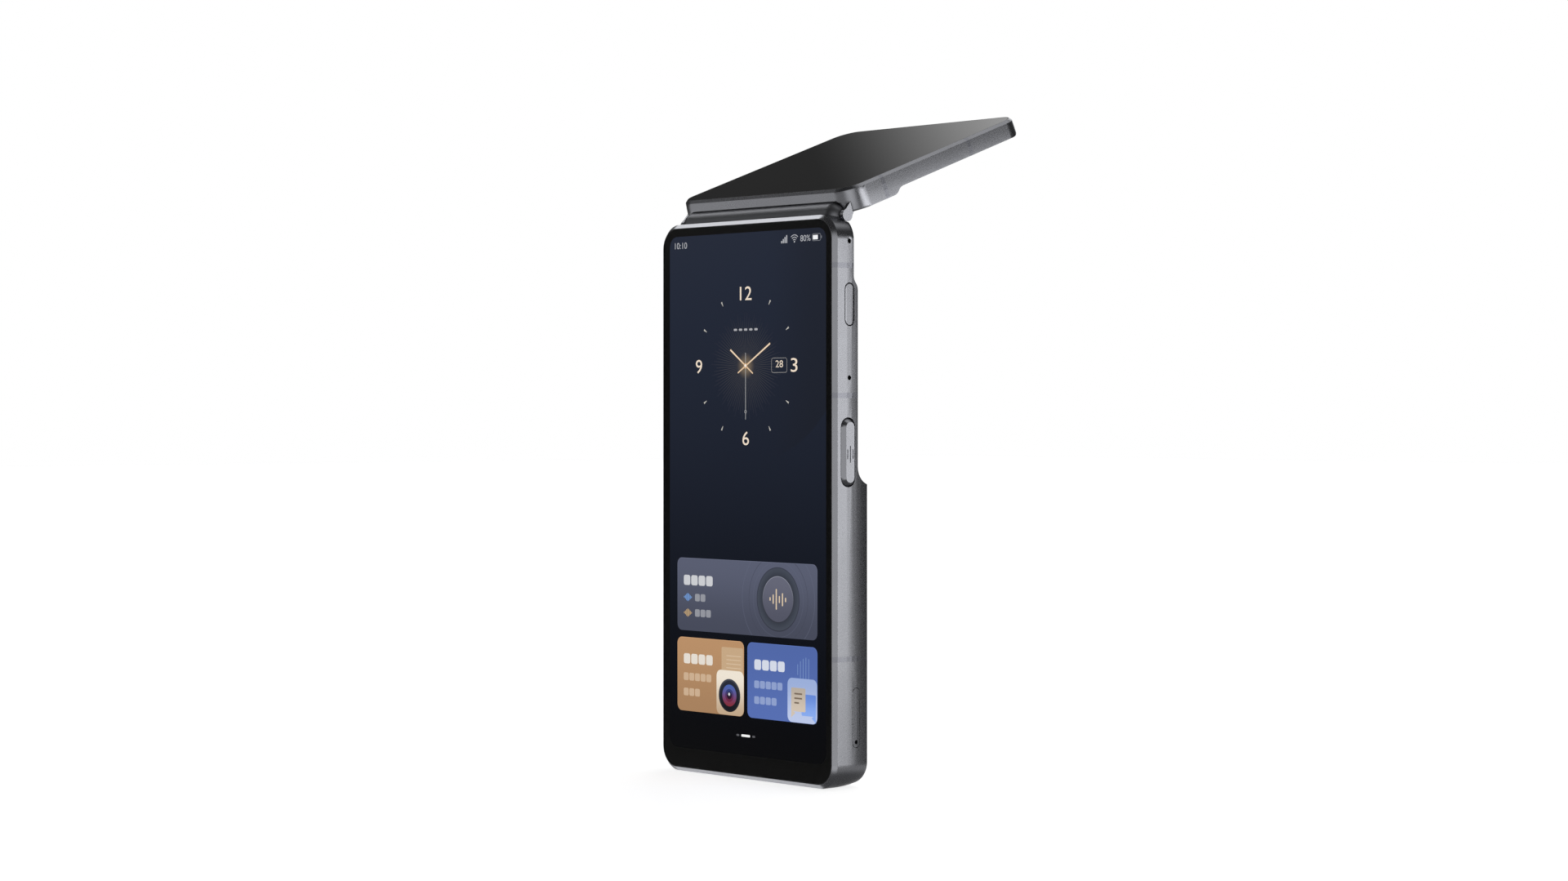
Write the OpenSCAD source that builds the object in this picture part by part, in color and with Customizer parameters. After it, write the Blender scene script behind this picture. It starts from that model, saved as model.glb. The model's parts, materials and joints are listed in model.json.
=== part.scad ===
// Dual-screen handheld: a unibody aluminium body with a full-face screen, and a flip panel with a
// second screen, hinged on a round spine at the top edge.
// X right, Y back, Z up. Y = 0 is the hinge axis plane, Z = 0 the bottom end face.
// The flip panel is drawn closed, flush in the recess of the back, and turned to its rest angle.

/* [Body] */
// Width of the body and of the flip panel
body_w = 59.2; // [58:0.1:72]
// Height of the body from end to end
body_h = 125; // [122:0.5:152]
// Thickness of the lower body, which is also body plus closed flip panel
body_t = 11.3; // [11.2:0.1:13.6]
// Corner radius of the outline seen from the front
corner_r = 5.5; // [5:0.1:6.6]
// Chamfer round the front edge
chamfer = 0.9; // [0.6:0.05:1.1]
// Radius of the long back edges of the lower body
back_r = 2; // [1.6:0.1:2.6]
// Depth behind the front plane at which the side starts to curve inwards
flat_depth = 3.6; // [2.5:0.1:4.5]
// Radius of the gentle curve of the side
crown_r = 30; // [24:1:60]
// Thickness of the side walls
wall = 1.6; // [1.4:0.05:1.9]
// Thickness of the back wall of the lower body
back_wall = 1.2; // [0.9:0.05:1.5]
// Thickness of the back wall behind the flip panel
seat_wall = 0.8; // [0.65:0.05:0.95]

/* [Recess for the flip panel] */
// Height of the thin upper section above the hinge axis plane
upper_rise = 0.1; // [0:0.05:0.2]
// Height of the middle step above the hinge axis plane
mid_rise = 1.3; // [1.1:0.05:1.6]
// Distance from the top end down to the start of the upper step
upper_step_drop = 13.2; // [13:0.1:16]
// Length of the S-shaped upper step along the body
upper_step_len = 3.3; // [3:0.1:4]
// Length of the hollow curve at the lower end of the recess
low_step_len = 4; // [3.4:0.1:4.8]

/* [Glass and screens] */
// Thickness of the cover glasses
glass_t = 0.7; // [0.5:0.05:0.8]
// Flat rim of metal between the gasket line and the chamfer
rim = 0.1; // [0.05:0.05:0.3]
// Width of the gasket line round the glass
gasket_w = 0.1; // [0.08:0.01:0.15]
// Thickness of the gasket under the glass
gasket_t = 0.15; // [0.1:0.01:0.2]
// Thickness of the display panels
display_t = 1.2; // [1:0.05:1.3]
// Side bezel between the edge of the front glass and the picture
bezel_side = 1.9; // [1.7:0.05:3]
// Top bezel of the front screen
bezel_top = 1.7; // [1.5:0.05:3]
// Bottom bezel of the front screen
bezel_bottom = 4.3; // [3:0.1:6]

/* [Flip panel] */
// Reach of the flip panel from the hinge axis to its far edge
flip_reach = 58; // [50:0.1:70]
// Gap between the far edge of the closed flip panel and the body
tip_gap = 0.8; // [0.6:0.05:1.2]
// Lean of the flip panel's sides towards its glass
flip_lean = 0.3; // [0.2:0.05:0.4]
// Gap between the flip panel and the recess when closed
flip_gap = 0.15; // [0.12:0.01:0.3]
// Gap between the hinge axis and the near edge of the flip panel
near_gap = 0.35; // [0.3:0.05:0.6]
// Wall of the flip panel under its electronics
flip_wall = 0.8; // [0.65:0.05:1]
// Length of the rounded underside at the far edge
tip_round_len = 3.9; // [3.4:0.1:4.4]
// Bezel of the flip screen next to the hinge
flip_bezel_near = 11.55; // [10:0.05:14]
// Bezel of the flip screen at the far edge
flip_bezel_far = 5.1; // [3:0.1:7]
// Side bezel of the flip screen
flip_bezel_side = 2.15; // [1.7:0.05:3]
// Opening angle in which the part is drawn
open_angle = 110; // [0:1:180]

/* [Hinge] */
// Radius of the round spine
spine_r = 3; // [2.5:0.05:3.1]
// Distance from each end of the spine to the side of the body
spine_inset = 3.2; // [3:0.1:3.4]
// Clearance between the spine and the flip panel
spine_gap = 0.2; // [0.15:0.01:0.3]
// Radius of the two steel shafts
shaft_r = 0.95; // [0.85:0.05:1]
// Radial running clearance of the shafts
shaft_fit = 0.03; // [0.02:0.01:0.05]
// Length of each friction sleeve
sleeve_len = 10; // [8:0.5:11]
// Outer radius of the friction sleeves
sleeve_r = 2.2; // [2:0.05:2.3]
// Thickness of the hinge arms
arm_t = 0.9; // [0.7:0.05:0.9]
// Radius of the eye at the root of each hinge arm
eye_r = 1.4; // [1.3:0.05:1.5]

/* [Side buttons] */
// Length of the power button opening
power_len = 9.5; // [8:0.1:11.4]
// Width of the power button opening
power_w = 2.96; // [2.6:0.02:3.2]
// Distance from the top end to the centre of the power button
power_drop = 19.55; // [19:0.05:24]
// Travel of the power button
power_travel = 0.25; // [0.2:0.01:0.3]
// Length of the talk button opening
talk_len = 15.2; // [13:0.1:18.4]
// Width of the talk button opening
talk_w = 4.4; // [4:0.05:4.5]
// Distance from the top end to the centre of the talk button
talk_drop = 51.7; // [48:0.1:56]
// Height by which the talk button stands out of the side
talk_out = 0.7; // [0.4:0.05:1]
// Travel of the talk button
talk_travel = 0.3; // [0.25:0.01:0.35]
// Gap round each button cap
button_gap = 0.2; // [0.1:0.01:0.22]

/* [Card tray and ports] */
// Height of the card tray centre above the bottom end
tray_z = 15.5; // [15:0.1:18]
// Length of the card tray face
tray_len = 13.2; // [13:0.1:14.4]
// Width of the card tray face
tray_w = 2.5; // [2.4:0.05:2.9]
// Depth of the tray behind its face
tray_depth = 15.2; // [15:0.1:16.5]
// Gap round the tray face
tray_gap = 0.12; // [0.06:0.01:0.16]
// Radius of the eject pin hole
pin_r = 0.46; // [0.4:0.02:0.6]
// Width of the charging port opening
port_w = 8.94; // [8.94:0.01:9.1]
// Height of the charging port opening
port_h = 3.26; // [3.2:0.01:3.4]
// Radius of the microphone holes
mic_r = 0.52; // [0.4:0.02:0.7]
// Width of the antenna bands
band_w = 1.15; // [0.8:0.05:1.5]
// Distance from the top end to the upper antenna band
band_top = 11.1; // [10.5:0.1:13]
// Distance from the top end to the middle antenna band
band_mid = 39.35; // [36:0.1:46]
// Height of the lower antenna band above the bottom end
band_low = 28.4; // [27:0.1:34]

/* [Inside] */
// Thickness of the stainless mid plate
plate_t = 0.4; // [0.3:0.05:0.5]
// Space between the display and the mid plate
plate_gap = 0.35; // [0.3:0.05:0.45]
// Thickness of the circuit boards
pcb_t = 0.7; // [0.6:0.05:0.8]
// Height of the battery above the bottom end
battery_z = 24; // [23.5:0.1:26]
// Width of the battery
battery_w = 36; // [30:0.5:36.5]
// Thickness of the battery
battery_t = 6.4; // [5:0.1:6.6]
// Radius of the screw shanks
screw_r = 0.6; // [0.5:0.05:0.7]
// Radius of the rear camera window
camera_r = 3.4; // [3:0.1:3.8]

/* [Hidden] */

$fn = 48;
eps = 0.01;

metal = [0.47, 0.48, 0.51];
band_grey = [0.60, 0.62, 0.66];
glass_black = [0.05, 0.06, 0.08, 0.6];
board_green = [0.05, 0.20, 0.12];
steel = [0.62, 0.63, 0.65];
dark = [0.10, 0.10, 0.11];
gold = [0.75, 0.60, 0.28];

// planes across the thickness, front to back
half_w = body_w / 2;
front_y = -body_t / 2;
back_y = body_t / 2;
gasket_y = front_y + glass_t + gasket_t;
display_y = front_y + glass_t;
plate_y = display_y + display_t + plate_gap + plate_t;
thin_y = upper_rise;
mid_y = thin_y + mid_rise;
seat_in_y = thin_y - seat_wall;
mid_in_y = mid_y - seat_wall - 0.2;
low_in_y = back_y - back_wall;
board_y = seat_in_y - 0.5 - pcb_t;
socket_y = -0.75;
port_y = 0.9;

// heights along the body
step_z = body_h - upper_step_drop;
mid_z = step_z - upper_step_len;
corner_z = body_h - flip_reach - tip_gap;
low_z = corner_z + low_step_len;
cavity_top = body_h - spine_r - 1.1;
low_cavity_top = corner_z - back_wall;
in_w = half_w - wall;

// flip panel, closed
tip_z = body_h - flip_reach;
near_z = body_h - near_gap;
flip_thin_y = mid_y + flip_gap;
flip_thick_y = thin_y + flip_gap;
tip_round_y = back_y - chamfer - rim;
lens_z = near_z - 7.1;

// glass outlines
inset = chamfer + rim;
glass_w = body_w - 2 * (inset + gasket_w);
glass_z0 = inset + gasket_w;
glass_z1 = body_h - inset - gasket_w;
flip_glass_z0 = tip_z + inset + gasket_w;
flip_glass_z1 = near_z - inset - gasket_w;
glass_r = corner_r - inset - gasket_w;

// hinge
spine_end = half_w - spine_inset;
arm_x = spine_end + spine_gap + 0.15;
sleeve_x = spine_end - spine_r + sleeve_r - sleeve_len - 1;
shaft_end = sleeve_x - 0.5;
cable_x = -sleeve_x + 2.5;

// side features
power_z = body_h - power_drop;
power_y = -1.22;
talk_z = body_h - talk_drop;
talk_y = -1.65;
mic_y = -1.3;
mic_zs = [body_h - 5.8, body_h - 35.5];
switch_x = half_w - 2.85;
flange_x = in_w - 0.65;
boss_r = 1.4;
boss_x = half_w - 4.8;
boss_zs = [5.5, corner_z + 1.6, step_z - 1.8];
board_screw_x = 20;
board_screw_zs = [corner_z + 15.5, mid_z - 4];
camera_x = -19;
camera_z = corner_z - 12.2;
pin_z = tray_z - 5.3;
speaker_top = tray_z + 2.5;
motor_r = 4;
motor_z = speaker_top + motor_r + 1;

// ---- shapes ----

// points of an arc about (cy, cz) with radii ry and rz, from angle a0 to a1
function arc_points(cy, cz, ry, rz, a0, a1, n) =
    [for (i = [0:n]) let (a = a0 + (a1 - a0) * i / n) [cy + ry * cos(a), cz + rz * sin(a)]];

// S-shaped step from (y0, z0) down to (y1, z1): two equal arcs that meet in the middle
function s_step(y0, z0, y1, z1, n) =
    let (dy = y1 - y0, dz = z0 - z1, r = (dy * dy + dz * dz) / (4 * dy), a = asin(dz / 2 / r))
    concat(arc_points(y0 + r, z0, r, r, 180, 180 + a, n),
           arc_points(y1 - r, z1, r, r, a, 0, n));

// turns a shape drawn in X and Z with its depth along +Y
module face_on() {
    rotate([90, 0, 0]) mirror([0, 0, 1]) children();
}

// extrudes an outline drawn in Y and Z along X, centred
module along_x(w) {
    translate([-w / 2, 0, 0]) rotate([90, 0, 90]) linear_extrude(w) children();
}

module rounded_rect(w, z0, z1, r) {
    translate([-w / 2 + r, z0]) square([w - 2 * r, z1 - z0]);
    translate([-w / 2, z0 + r]) square([w, z1 - z0 - 2 * r]);
    for (x = [-w / 2 + r, w / 2 - r], z = [z0 + r, z1 - r]) translate([x, z]) circle(r);
}

// plate with rounded corners between two planes y0 and y1
module plate(w, z0, z1, r, y0, y1) {
    translate([0, y0, 0]) face_on() linear_extrude(y1 - y0) rounded_rect(w, z0, z1, r);
}

module box(x0, x1, y0, y1, z0, z1) {
    translate([x0, y0, z0]) cube([x1 - x0, y1 - y0, z1 - z0]);
}

module stadium(len, w) {
    square([w, len - w], center = true);
    for (s = [-1, 1]) translate([0, s * (len - w) / 2]) circle(w / 2);
}

// stadium with its length along Z, extruded along X from x0 to x1
module side_stadium(len, w, y, z, x0, x1) {
    translate([x0, y, z]) rotate([90, 0, 90]) linear_extrude(x1 - x0) stadium(len, w);
}

module x_cylinder(r, x0, x1, y, z) {
    translate([x0, y, z]) rotate([0, 90, 0]) cylinder(r = r, h = x1 - x0);
}

module y_cylinder(r, y0, y1, x, z) {
    translate([x, y0, z]) rotate([-90, 0, 0]) cylinder(r = r, h = y1 - y0);
}

// edge section of a slab: x outwards from the corner centre, y through the thickness.
// With a rounding br at the back, the side curves gently inwards before it.
// Without one, the side leans in by lean towards the chamfer.
module edge_profile(t, rc, ch, br, lean) {
    lean_r = lean == 0 ? 1 : (pow(t - ch, 2) + pow(lean, 2)) / (2 * lean);
    lean_turn = lean == 0 ? 0 : asin((t - ch) / lean_r);
    turn = asin((t - br - flat_depth) / (crown_r - br));
    crown_x = rc - crown_r;
    polygon(concat(
        [[0, 0], [rc - ch - lean, 0]],
        lean == 0 ? [[rc, ch]] : arc_points(rc - lean_r, t, lean_r, lean_r, -lean_turn, 0, 4),
        br == 0 ? (lean == 0 ? [[rc, t]] : []) : concat(
            arc_points(crown_x, flat_depth, crown_r, crown_r, 0, turn, 4),
            [for (i = [1:8]) arc_points(crown_x + (crown_r - br) * cos(turn), t - br,
                                        br, br, turn, 90, 8)[i]]),
        [[0, t]]));
}

// slab with rounded corners, a chamfer on its face at depth 0 and a rounding at depth t
module slab(w, z0, z1, t, rc, ch, br, lean = 0) {
    xs = w / 2 - rc;
    spots = [[xs, z1 - rc, 0, z1 - z0 - 2 * rc], [-xs, z1 - rc, 90, w - 2 * rc],
             [-xs, z0 + rc, 180, z1 - z0 - 2 * rc], [xs, z0 + rc, 270, w - 2 * rc]];
    for (s = spots) translate([s[0], s[1], 0]) rotate([0, 0, s[2]]) {
        rotate_extrude(angle = 90) edge_profile(t, rc, ch, br, lean);
        rotate([90, 0, 0]) linear_extrude(s[3]) edge_profile(t, rc, ch, br, lean);
    }
    translate([-xs, z0 + rc, 0]) cube([2 * xs, z1 - z0 - 2 * rc, t]);
}

module capsule(r, reach) {
    x_cylinder(r, -reach + r, reach - r, 0, body_h);
    for (s = [-1, 1]) translate([s * (reach - r), 0, body_h]) sphere(r);
}

// turns a piece of the closed flip panel to the angle in which the part is drawn
module opened() {
    translate([0, 0, body_h]) rotate([open_angle, 0, 0]) translate([0, 0, -body_h]) children();
}

module both_sides() {
    children();
    mirror([1, 0, 0]) children();
}

// ---- body ----

// everything behind this outline is cut away for the flip panel
module recess() {
    along_x(body_w + 2) polygon(concat(
        [[back_y + 1, corner_z], [back_y + 1, body_h + 5], [thin_y, body_h + 5]],
        s_step(thin_y, step_z, mid_y, mid_z, 6),
        arc_points(back_y, low_z, back_y - mid_y, low_step_len, 180, 270, 8)));
}

module body_blank() {
    difference() {
        translate([0, front_y, 0]) face_on() slab(body_w, 0, body_h, body_t, corner_r, chamfer, back_r);
        recess();
    }
}

module band_boxes(zs, y0, y1) {
    for (z = zs) both_sides() box(half_w - inset, half_w + 1, y0, y1, z - band_w / 2, z + band_w / 2);
}

body_bands = [body_h - band_top, body_h - band_mid, band_low];

module body_cavity() {
    r = corner_r - wall;
    plate(2 * in_w, wall, body_h - wall, r, gasket_y - eps, plate_y - plate_t);
    plate(2 * in_w, wall, cavity_top, r, plate_y - plate_t - 0.1, seat_in_y);
    plate(2 * in_w, wall, mid_z - 1, r, plate_y - plate_t - 0.1, mid_in_y);
    plate(2 * in_w, wall, low_cavity_top, r, plate_y - plate_t - 0.1, low_in_y);
}

module side_openings() {
    side_stadium(power_len, power_w, power_y, power_z, in_w - 1, half_w + 1);
    side_stadium(power_len + 0.7, power_w + 0.6, power_y, power_z, in_w - 1, in_w + 0.05);
    side_stadium(talk_len, talk_w, talk_y, talk_z, in_w - 1, half_w + 1);
    side_stadium(talk_len + 0.7, talk_w + 0.6, talk_y, talk_z, in_w - 1, in_w + 0.05);
    side_stadium(tray_len, tray_w, port_y, tray_z, in_w - 1, half_w + 1);
    for (z = mic_zs) x_cylinder(mic_r, in_w - 0.5, half_w + 1, mic_y, z);
    for (z = mic_zs) box(bracket_x - 0.1, in_w, mic_y - 1.3, seat_in_y, z - 1.5, z + 1.5);
}

module bottom_openings() {
    translate([0, port_y, -1]) linear_extrude(wall + 2) rotate(90) stadium(port_w, port_h);
    translate([10, port_y, -1]) cylinder(r = mic_r, h = wall + 2);
    for (i = [0:4]) translate([-20 + 2 * i, port_y, -1]) cylinder(r = 0.55, h = wall + 2);
}

module back_openings() {
    y_cylinder(camera_r, low_in_y - 1, back_y + 1, camera_x, camera_z);
    y_cylinder(camera_r + 0.9, back_y - 0.7, back_y + 1, camera_x, camera_z);
    y_cylinder(1.5, low_in_y - 1, back_y + 1, camera_x, camera_z - 10);
}

module hinge_cuts() {
    capsule(spine_r, spine_end);
    both_sides() x_cylinder(eye_r + 0.6, arm_x - 0.15, arm_x + arm_t + 0.15, 0, body_h);
    both_sides() x_cylinder(shaft_r + 0.2, spine_end - 1.2, arm_x, 0, body_h);
    spine_screw_shape(screw_r + 0.05);
    cable_drop(0.6);
}

module bosses() {
    for (z = boss_zs) both_sides()
        y_cylinder(boss_r, plate_y, z > low_cavity_top ? (z > mid_z ? seat_in_y + 0.1 : mid_in_y + 0.1)
                                                       : low_in_y + 0.1, boss_x, z);
    for (z = board_screw_zs) both_sides()
        y_cylinder(boss_r, board_y + pcb_t, mid_in_y + 0.1, board_screw_x, z);
}

module body_shell() {
    color(metal) difference() {
        union() {
            difference() {
                body_blank();
                plate(glass_w + 2 * gasket_w, glass_z0 - gasket_w, glass_z1 + gasket_w,
                      glass_r + gasket_w, front_y - 1, gasket_y);
                body_cavity();
            }
            bosses();
        }
        side_openings();
        bottom_openings();
        back_openings();
        hinge_cuts();
        band_boxes(body_bands, front_y - 1, back_y + 1);
        screw_set(boss_zs, boss_x, plate_y - 1, plate_y + 1.8, screw_r);
        screw_set(board_screw_zs, board_screw_x, board_y, board_y + pcb_t + 1.1, screw_r);
    }
}

module body_antenna_bands() {
    color(band_grey) intersection() {
        body_blank();
        band_boxes(body_bands, front_y - 1, back_y + 1);
    }
}

module front_glass() {
    color(glass_black) plate(glass_w, glass_z0, glass_z1, glass_r, front_y, display_y);
}

// ring round a glass with a ledge under it; y0 is the glass face and d the way inwards
module gasket_ring(w, z0, z1, r, y0, y1, y2) {
    difference() {
        plate(w + 2 * gasket_w, z0 - gasket_w, z1 + gasket_w, r + gasket_w, min(y0, y2), max(y0, y2));
        plate(w, z0, z1, r, min(y0, y1) - (y0 < y1 ? 1 : 0), max(y0, y1) + (y0 < y1 ? 0 : 1));
        plate(w - 0.9, z0 + 0.6, z1 - 0.6, r, min(y0, y2) - 1, max(y0, y2) + 1);
    }
}

module front_glass_gasket() {
    color(dark) gasket_ring(glass_w, glass_z0, glass_z1, glass_r, front_y, display_y, gasket_y);
}

// the picture area plus a narrow border on every side
module front_display() {
    edge = 0.3;
    color([0.08, 0.10, 0.16])
        plate(glass_w - 2 * (bezel_side - edge), glass_z0 + bezel_bottom - edge, glass_z1 - bezel_top + edge,
              2.5, display_y, display_y + display_t);
}

module screw_set(zs, x, y0, y1, r) {
    for (z = zs) both_sides() y_cylinder(r, y0, y1, x, z);
}

module mid_plate() {
    color(steel) difference() {
        plate(2 * in_w - 3.2, 3, cavity_top - 1.4, 3, plate_y - plate_t, plate_y);
        screw_set(boss_zs, boss_x, plate_y - 1, plate_y + 1, screw_r + 0.1);
        for (z = [30, 40, 50]) box(14, 20, plate_y - 1, plate_y + 1, z, z + 4);
    }
}

module mid_plate_screws() {
    color(steel) for (z = boss_zs) both_sides() {
        y_cylinder(screw_r + 0.5, plate_y - plate_t - 0.3, plate_y - plate_t, boss_x, z);
        y_cylinder(screw_r, plate_y - plate_t - eps, plate_y + 1.6, boss_x, z);
    }
}

module main_board() {
    color(board_green) difference() {
        box(-boss_x + 1.8, boss_x - 1.8, board_y, board_y + pcb_t, corner_z + 10.8, cavity_top - 2.4);
        screw_set(board_screw_zs, board_screw_x, board_y - 1, board_y + 2, screw_r + 0.1);
    }
}

module shield_cans() {
    color(steel) {
        box(-17, -1, board_y + pcb_t, mid_in_y - 0.15, corner_z + 20, mid_z - 6);
        box(1, 17, board_y + pcb_t, mid_in_y - 0.15, corner_z + 20, mid_z - 6);
        box(-14, 14, board_y + pcb_t, mid_in_y - 0.15, corner_z + 12, corner_z + 18.5);
    }
}

module board_screws() {
    color(steel) for (z = board_screw_zs) both_sides() {
        y_cylinder(screw_r + 0.5, board_y - 0.3, board_y, board_screw_x, z);
        y_cylinder(screw_r, board_y - eps, board_y + pcb_t + 1, board_screw_x, z);
    }
}

battery_x0 = -10;
tape_t = 0.15;
battery_y1 = low_in_y - tape_t;

module battery() {
    color([0.16, 0.17, 0.19])
        box(battery_x0, battery_x0 + battery_w, battery_y1 - battery_t, battery_y1,
            battery_z, low_cavity_top - 1.4);
}

module battery_tape() {
    color([0.8, 0.8, 0.75])
        box(battery_x0 + 2, battery_x0 + battery_w - 2, battery_y1, low_in_y,
            battery_z + 3, low_cavity_top - 4);
}

flex_t = 0.15;

module battery_flex() {
    color(gold)
        box(2, 8, board_y - flex_t, board_y, low_cavity_top - 1.4, corner_z + 15);
}

module main_flex() {
    color(gold) {
        box(-12.6, -10.6, board_y - flex_t, board_y, tray_z + 5, corner_z + 15);
        box(-12.6, -4, board_y - flex_t, board_y, tray_z + 3, tray_z + 5);
    }
}

module lower_board() {
    color(board_green) {
        box(-6.5, half_w - 7.1, socket_y - pcb_t, socket_y, 3, tray_z + 7);
        box(-6.5, -3.5, board_y, socket_y - pcb_t, tray_z + 3, tray_z + 5);
    }
}

module usb_port() {
    color(steel) difference() {
        translate([0, port_y, 0.3]) linear_extrude(7.3) rotate(90) stadium(port_w - 0.1, port_h - 0.1);
        translate([0, port_y, 0]) linear_extrude(6.6) rotate(90) stadium(port_w - 0.6, port_h - 0.7);
    }
}

module usb_tongue() {
    color(dark) box(-3.3, 3.3, port_y - 0.35, port_y + 0.35, 1.4, 6.6);
}

// ---- card tray and eject lever ----

tray_in_x = half_w - wall - tray_depth + 0.2;
tray_face_x = half_w - 1.5;
tray_z0 = pin_z + 1.1;
tray_z1 = tray_z + tray_len / 2 - 0.6;
tray_y0 = port_y - 0.7;
tray_y1 = port_y + 0.7;

module sim_socket() {
    color(steel) difference() {
        box(tray_in_x + 0.6, in_w - 0.1, socket_y, port_y + 1.7, pin_z - 1, tray_z1 + 1);
        box(tray_in_x - 1, in_w + 1, tray_y0 - 0.1, tray_y1 + 0.1, tray_z0 - 0.1, tray_z1 + 0.1);
        x_cylinder(pin_r + 0.08, tray_in_x - 1, in_w + 1, port_y, pin_z);
    }
}

module sim_tray() {
    color(metal) difference() {
        union() {
            intersection() {
                side_stadium(tray_len - 2 * tray_gap, tray_w - 2 * tray_gap, port_y, tray_z,
                             tray_face_x, half_w);
                body_blank();
            }
            box(tray_in_x, tray_face_x + eps, tray_y0, tray_y1, tray_z0, tray_z1);
        }
        x_cylinder(pin_r, tray_face_x - 1, half_w + 1, port_y, pin_z);
        box(tray_in_x + 0.8, tray_in_x + 13.3, port_y - 0.1, tray_y1 + 1, tray_z - 3.8, tray_z + 5.2);
    }
}

module sim_card() {
    color(gold)
        box(tray_in_x + 0.9, tray_in_x + 13.2, port_y - 0.1, port_y + 0.57, tray_z - 3.7, tray_z + 5.1);
}

lever_x = tray_in_x - 1.8;
lever_pivot_z = pin_z + 3.4;
lever_t = 0.8;
rod_travel = 1;

module sim_eject_rod() {
    color(steel)
        x_cylinder(pin_r - 0.02, lever_x + lever_t / 2 + rod_travel + 0.1, tray_face_x - 0.6,
                   port_y, pin_z);
}

module sim_eject_lever() {
    color(steel) difference() {
        union() {
            box(lever_x - lever_t / 2, lever_x + lever_t / 2, port_y - 0.4, port_y + 0.4,
                lever_pivot_z - 4.2, lever_pivot_z + 4.2);
            y_cylinder(1, port_y - 0.4, port_y + 0.4, lever_x, lever_pivot_z);
        }
        y_cylinder(0.4, port_y - 1, port_y + 1, lever_x, lever_pivot_z);
    }
}

// ---- sound and feel ----

module speaker() {
    color(dark) difference() {
        box(-22.4, -8.4, plate_y + 0.3, low_in_y - 0.25, wall + 0.2, speaker_top);
        box(-21, -10, port_y - 1, port_y + 1, 0, wall + 1.2);
    }
}

module speaker_mesh() {
    color(steel) box(-21.6, -10.4, port_y - 1.1, port_y + 1.1, wall, wall + 0.15);
}

module haptic_motor() {
    color(steel) {
        y_cylinder(motor_r, low_in_y - 3, low_in_y, camera_x, motor_z);
        y_cylinder(1.2, low_in_y - 3.4, low_in_y - 3, camera_x, motor_z);
    }
}

bracket_x = switch_x - 0.55;

module mic_modules() {
    color(gold) {
        for (z = mic_zs) box(bracket_x + 0.2, in_w - 0.4, mic_y - 1.2, seat_in_y - 0.05, z - 1.4, z + 1.4);
        box(8.6, 11.4, socket_y, port_y + 0.95, wall + 0.35, wall + 1.35);
    }
}

module mic_boots() {
    color(dark) {
        for (z = mic_zs) difference() {
            x_cylinder(0.85, in_w - 0.4, in_w, mic_y - 0.4, z);
            x_cylinder(0.3, in_w - 1, in_w + 1, mic_y - 0.1, z);
        }
        difference() {
            translate([10, port_y, wall]) cylinder(r = 0.9, h = 0.35);
            translate([10, port_y, wall - 1]) cylinder(r = mic_r, h = 3);
        }
    }
}

// ---- buttons ----

module switch_bracket() {
    color(steel) box(bracket_x, bracket_x + 0.2, mic_y - 1.2, seat_in_y - 0.05,
                     corner_z, mic_zs[0] + 1.4);
}

module button_switches() {
    color(gold) for (z = [power_z, talk_z])
        box(bracket_x + 0.2, switch_x, mic_y - 0.9, seat_in_y - 0.05, z - 2, z + 2);
}

// cap in its opening, a wider flange behind the wall and a nub for the switch
module button(len, w, y, z, out_x) {
    side_stadium(len - 2 * button_gap, w - 2 * button_gap, y, z, flange_x, out_x);
    side_stadium(len + 0.4, w + 0.3, y, z, flange_x, in_w - 0.05);
    x_cylinder(0.5, switch_x + 0.05 + max(power_travel, talk_travel), flange_x + eps, mic_y - 0.1, z);
}

module power_button() {
    color(metal) intersection() {
        button(power_len, power_w, power_y, power_z, half_w);
        body_blank();
    }
}

// cap with sloping edges and three engraved bars
module talk_button() {
    bevel = 0.8;
    cap_x = half_w + talk_out;
    color(metal) difference() {
        union() {
            button(talk_len, talk_w, talk_y, talk_z, half_w - 0.1);
            hull() {
                side_stadium(talk_len - 2 * button_gap, talk_w - 2 * button_gap, talk_y, talk_z,
                             half_w - 0.2, half_w - 0.1);
                side_stadium(talk_len - 2 * button_gap - 2 * bevel, talk_w - 2 * button_gap - 2 * bevel,
                             talk_y, talk_z, cap_x - 0.1, cap_x);
            }
        }
        for (i = [-1:1])
            side_stadium(i == 0 ? 3.7 : 2.1, 0.28, talk_y + 0.8 * i, talk_z - 0.4, cap_x - 0.15, cap_x + 1);
    }
}

// ---- rear camera ----

module rear_camera() {
    color(dark) {
        box(camera_x - 5.5, camera_x + 5.5, plate_y + 0.3, low_in_y - 0.8, camera_z - 5.5, camera_z + 5.5);
        y_cylinder(camera_r - 0.3, low_in_y - 0.8, low_in_y + 0.3, camera_x, camera_z);
    }
}

module rear_camera_window() {
    color(glass_black) y_cylinder(camera_r, back_y - 0.7, back_y - 0.1, camera_x, camera_z);
}

module rear_camera_ring() {
    color(steel) difference() {
        y_cylinder(camera_r + 0.85, back_y - 0.7, back_y - 0.05, camera_x, camera_z);
        y_cylinder(camera_r, back_y - 1, back_y + 1, camera_x, camera_z);
    }
}

module flash_lens() {
    color([0.95, 0.93, 0.85])
        y_cylinder(1.45, low_in_y - 0.4, back_y - 0.1, camera_x, camera_z - 10);
}

module body_magnets() {
    color(steel) both_sides()
        box(13, 18, mid_in_y - 1.4, mid_in_y, corner_z + 4.5, corner_z + 9.5);
}

// ---- hinge ----

module spine_screw_shape(r) {
    both_sides() translate([7, -2, cavity_top - 0.5]) cylinder(r = r, h = spine_r + 1.6);
}

// slanted way of the cable from the hinge axis down into the body
module cable_drop(r) {
    translate([cable_x, 0, body_h]) rotate([180 - 24, 0, 0]) cylinder(r = r, h = 6.6);
}

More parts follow.
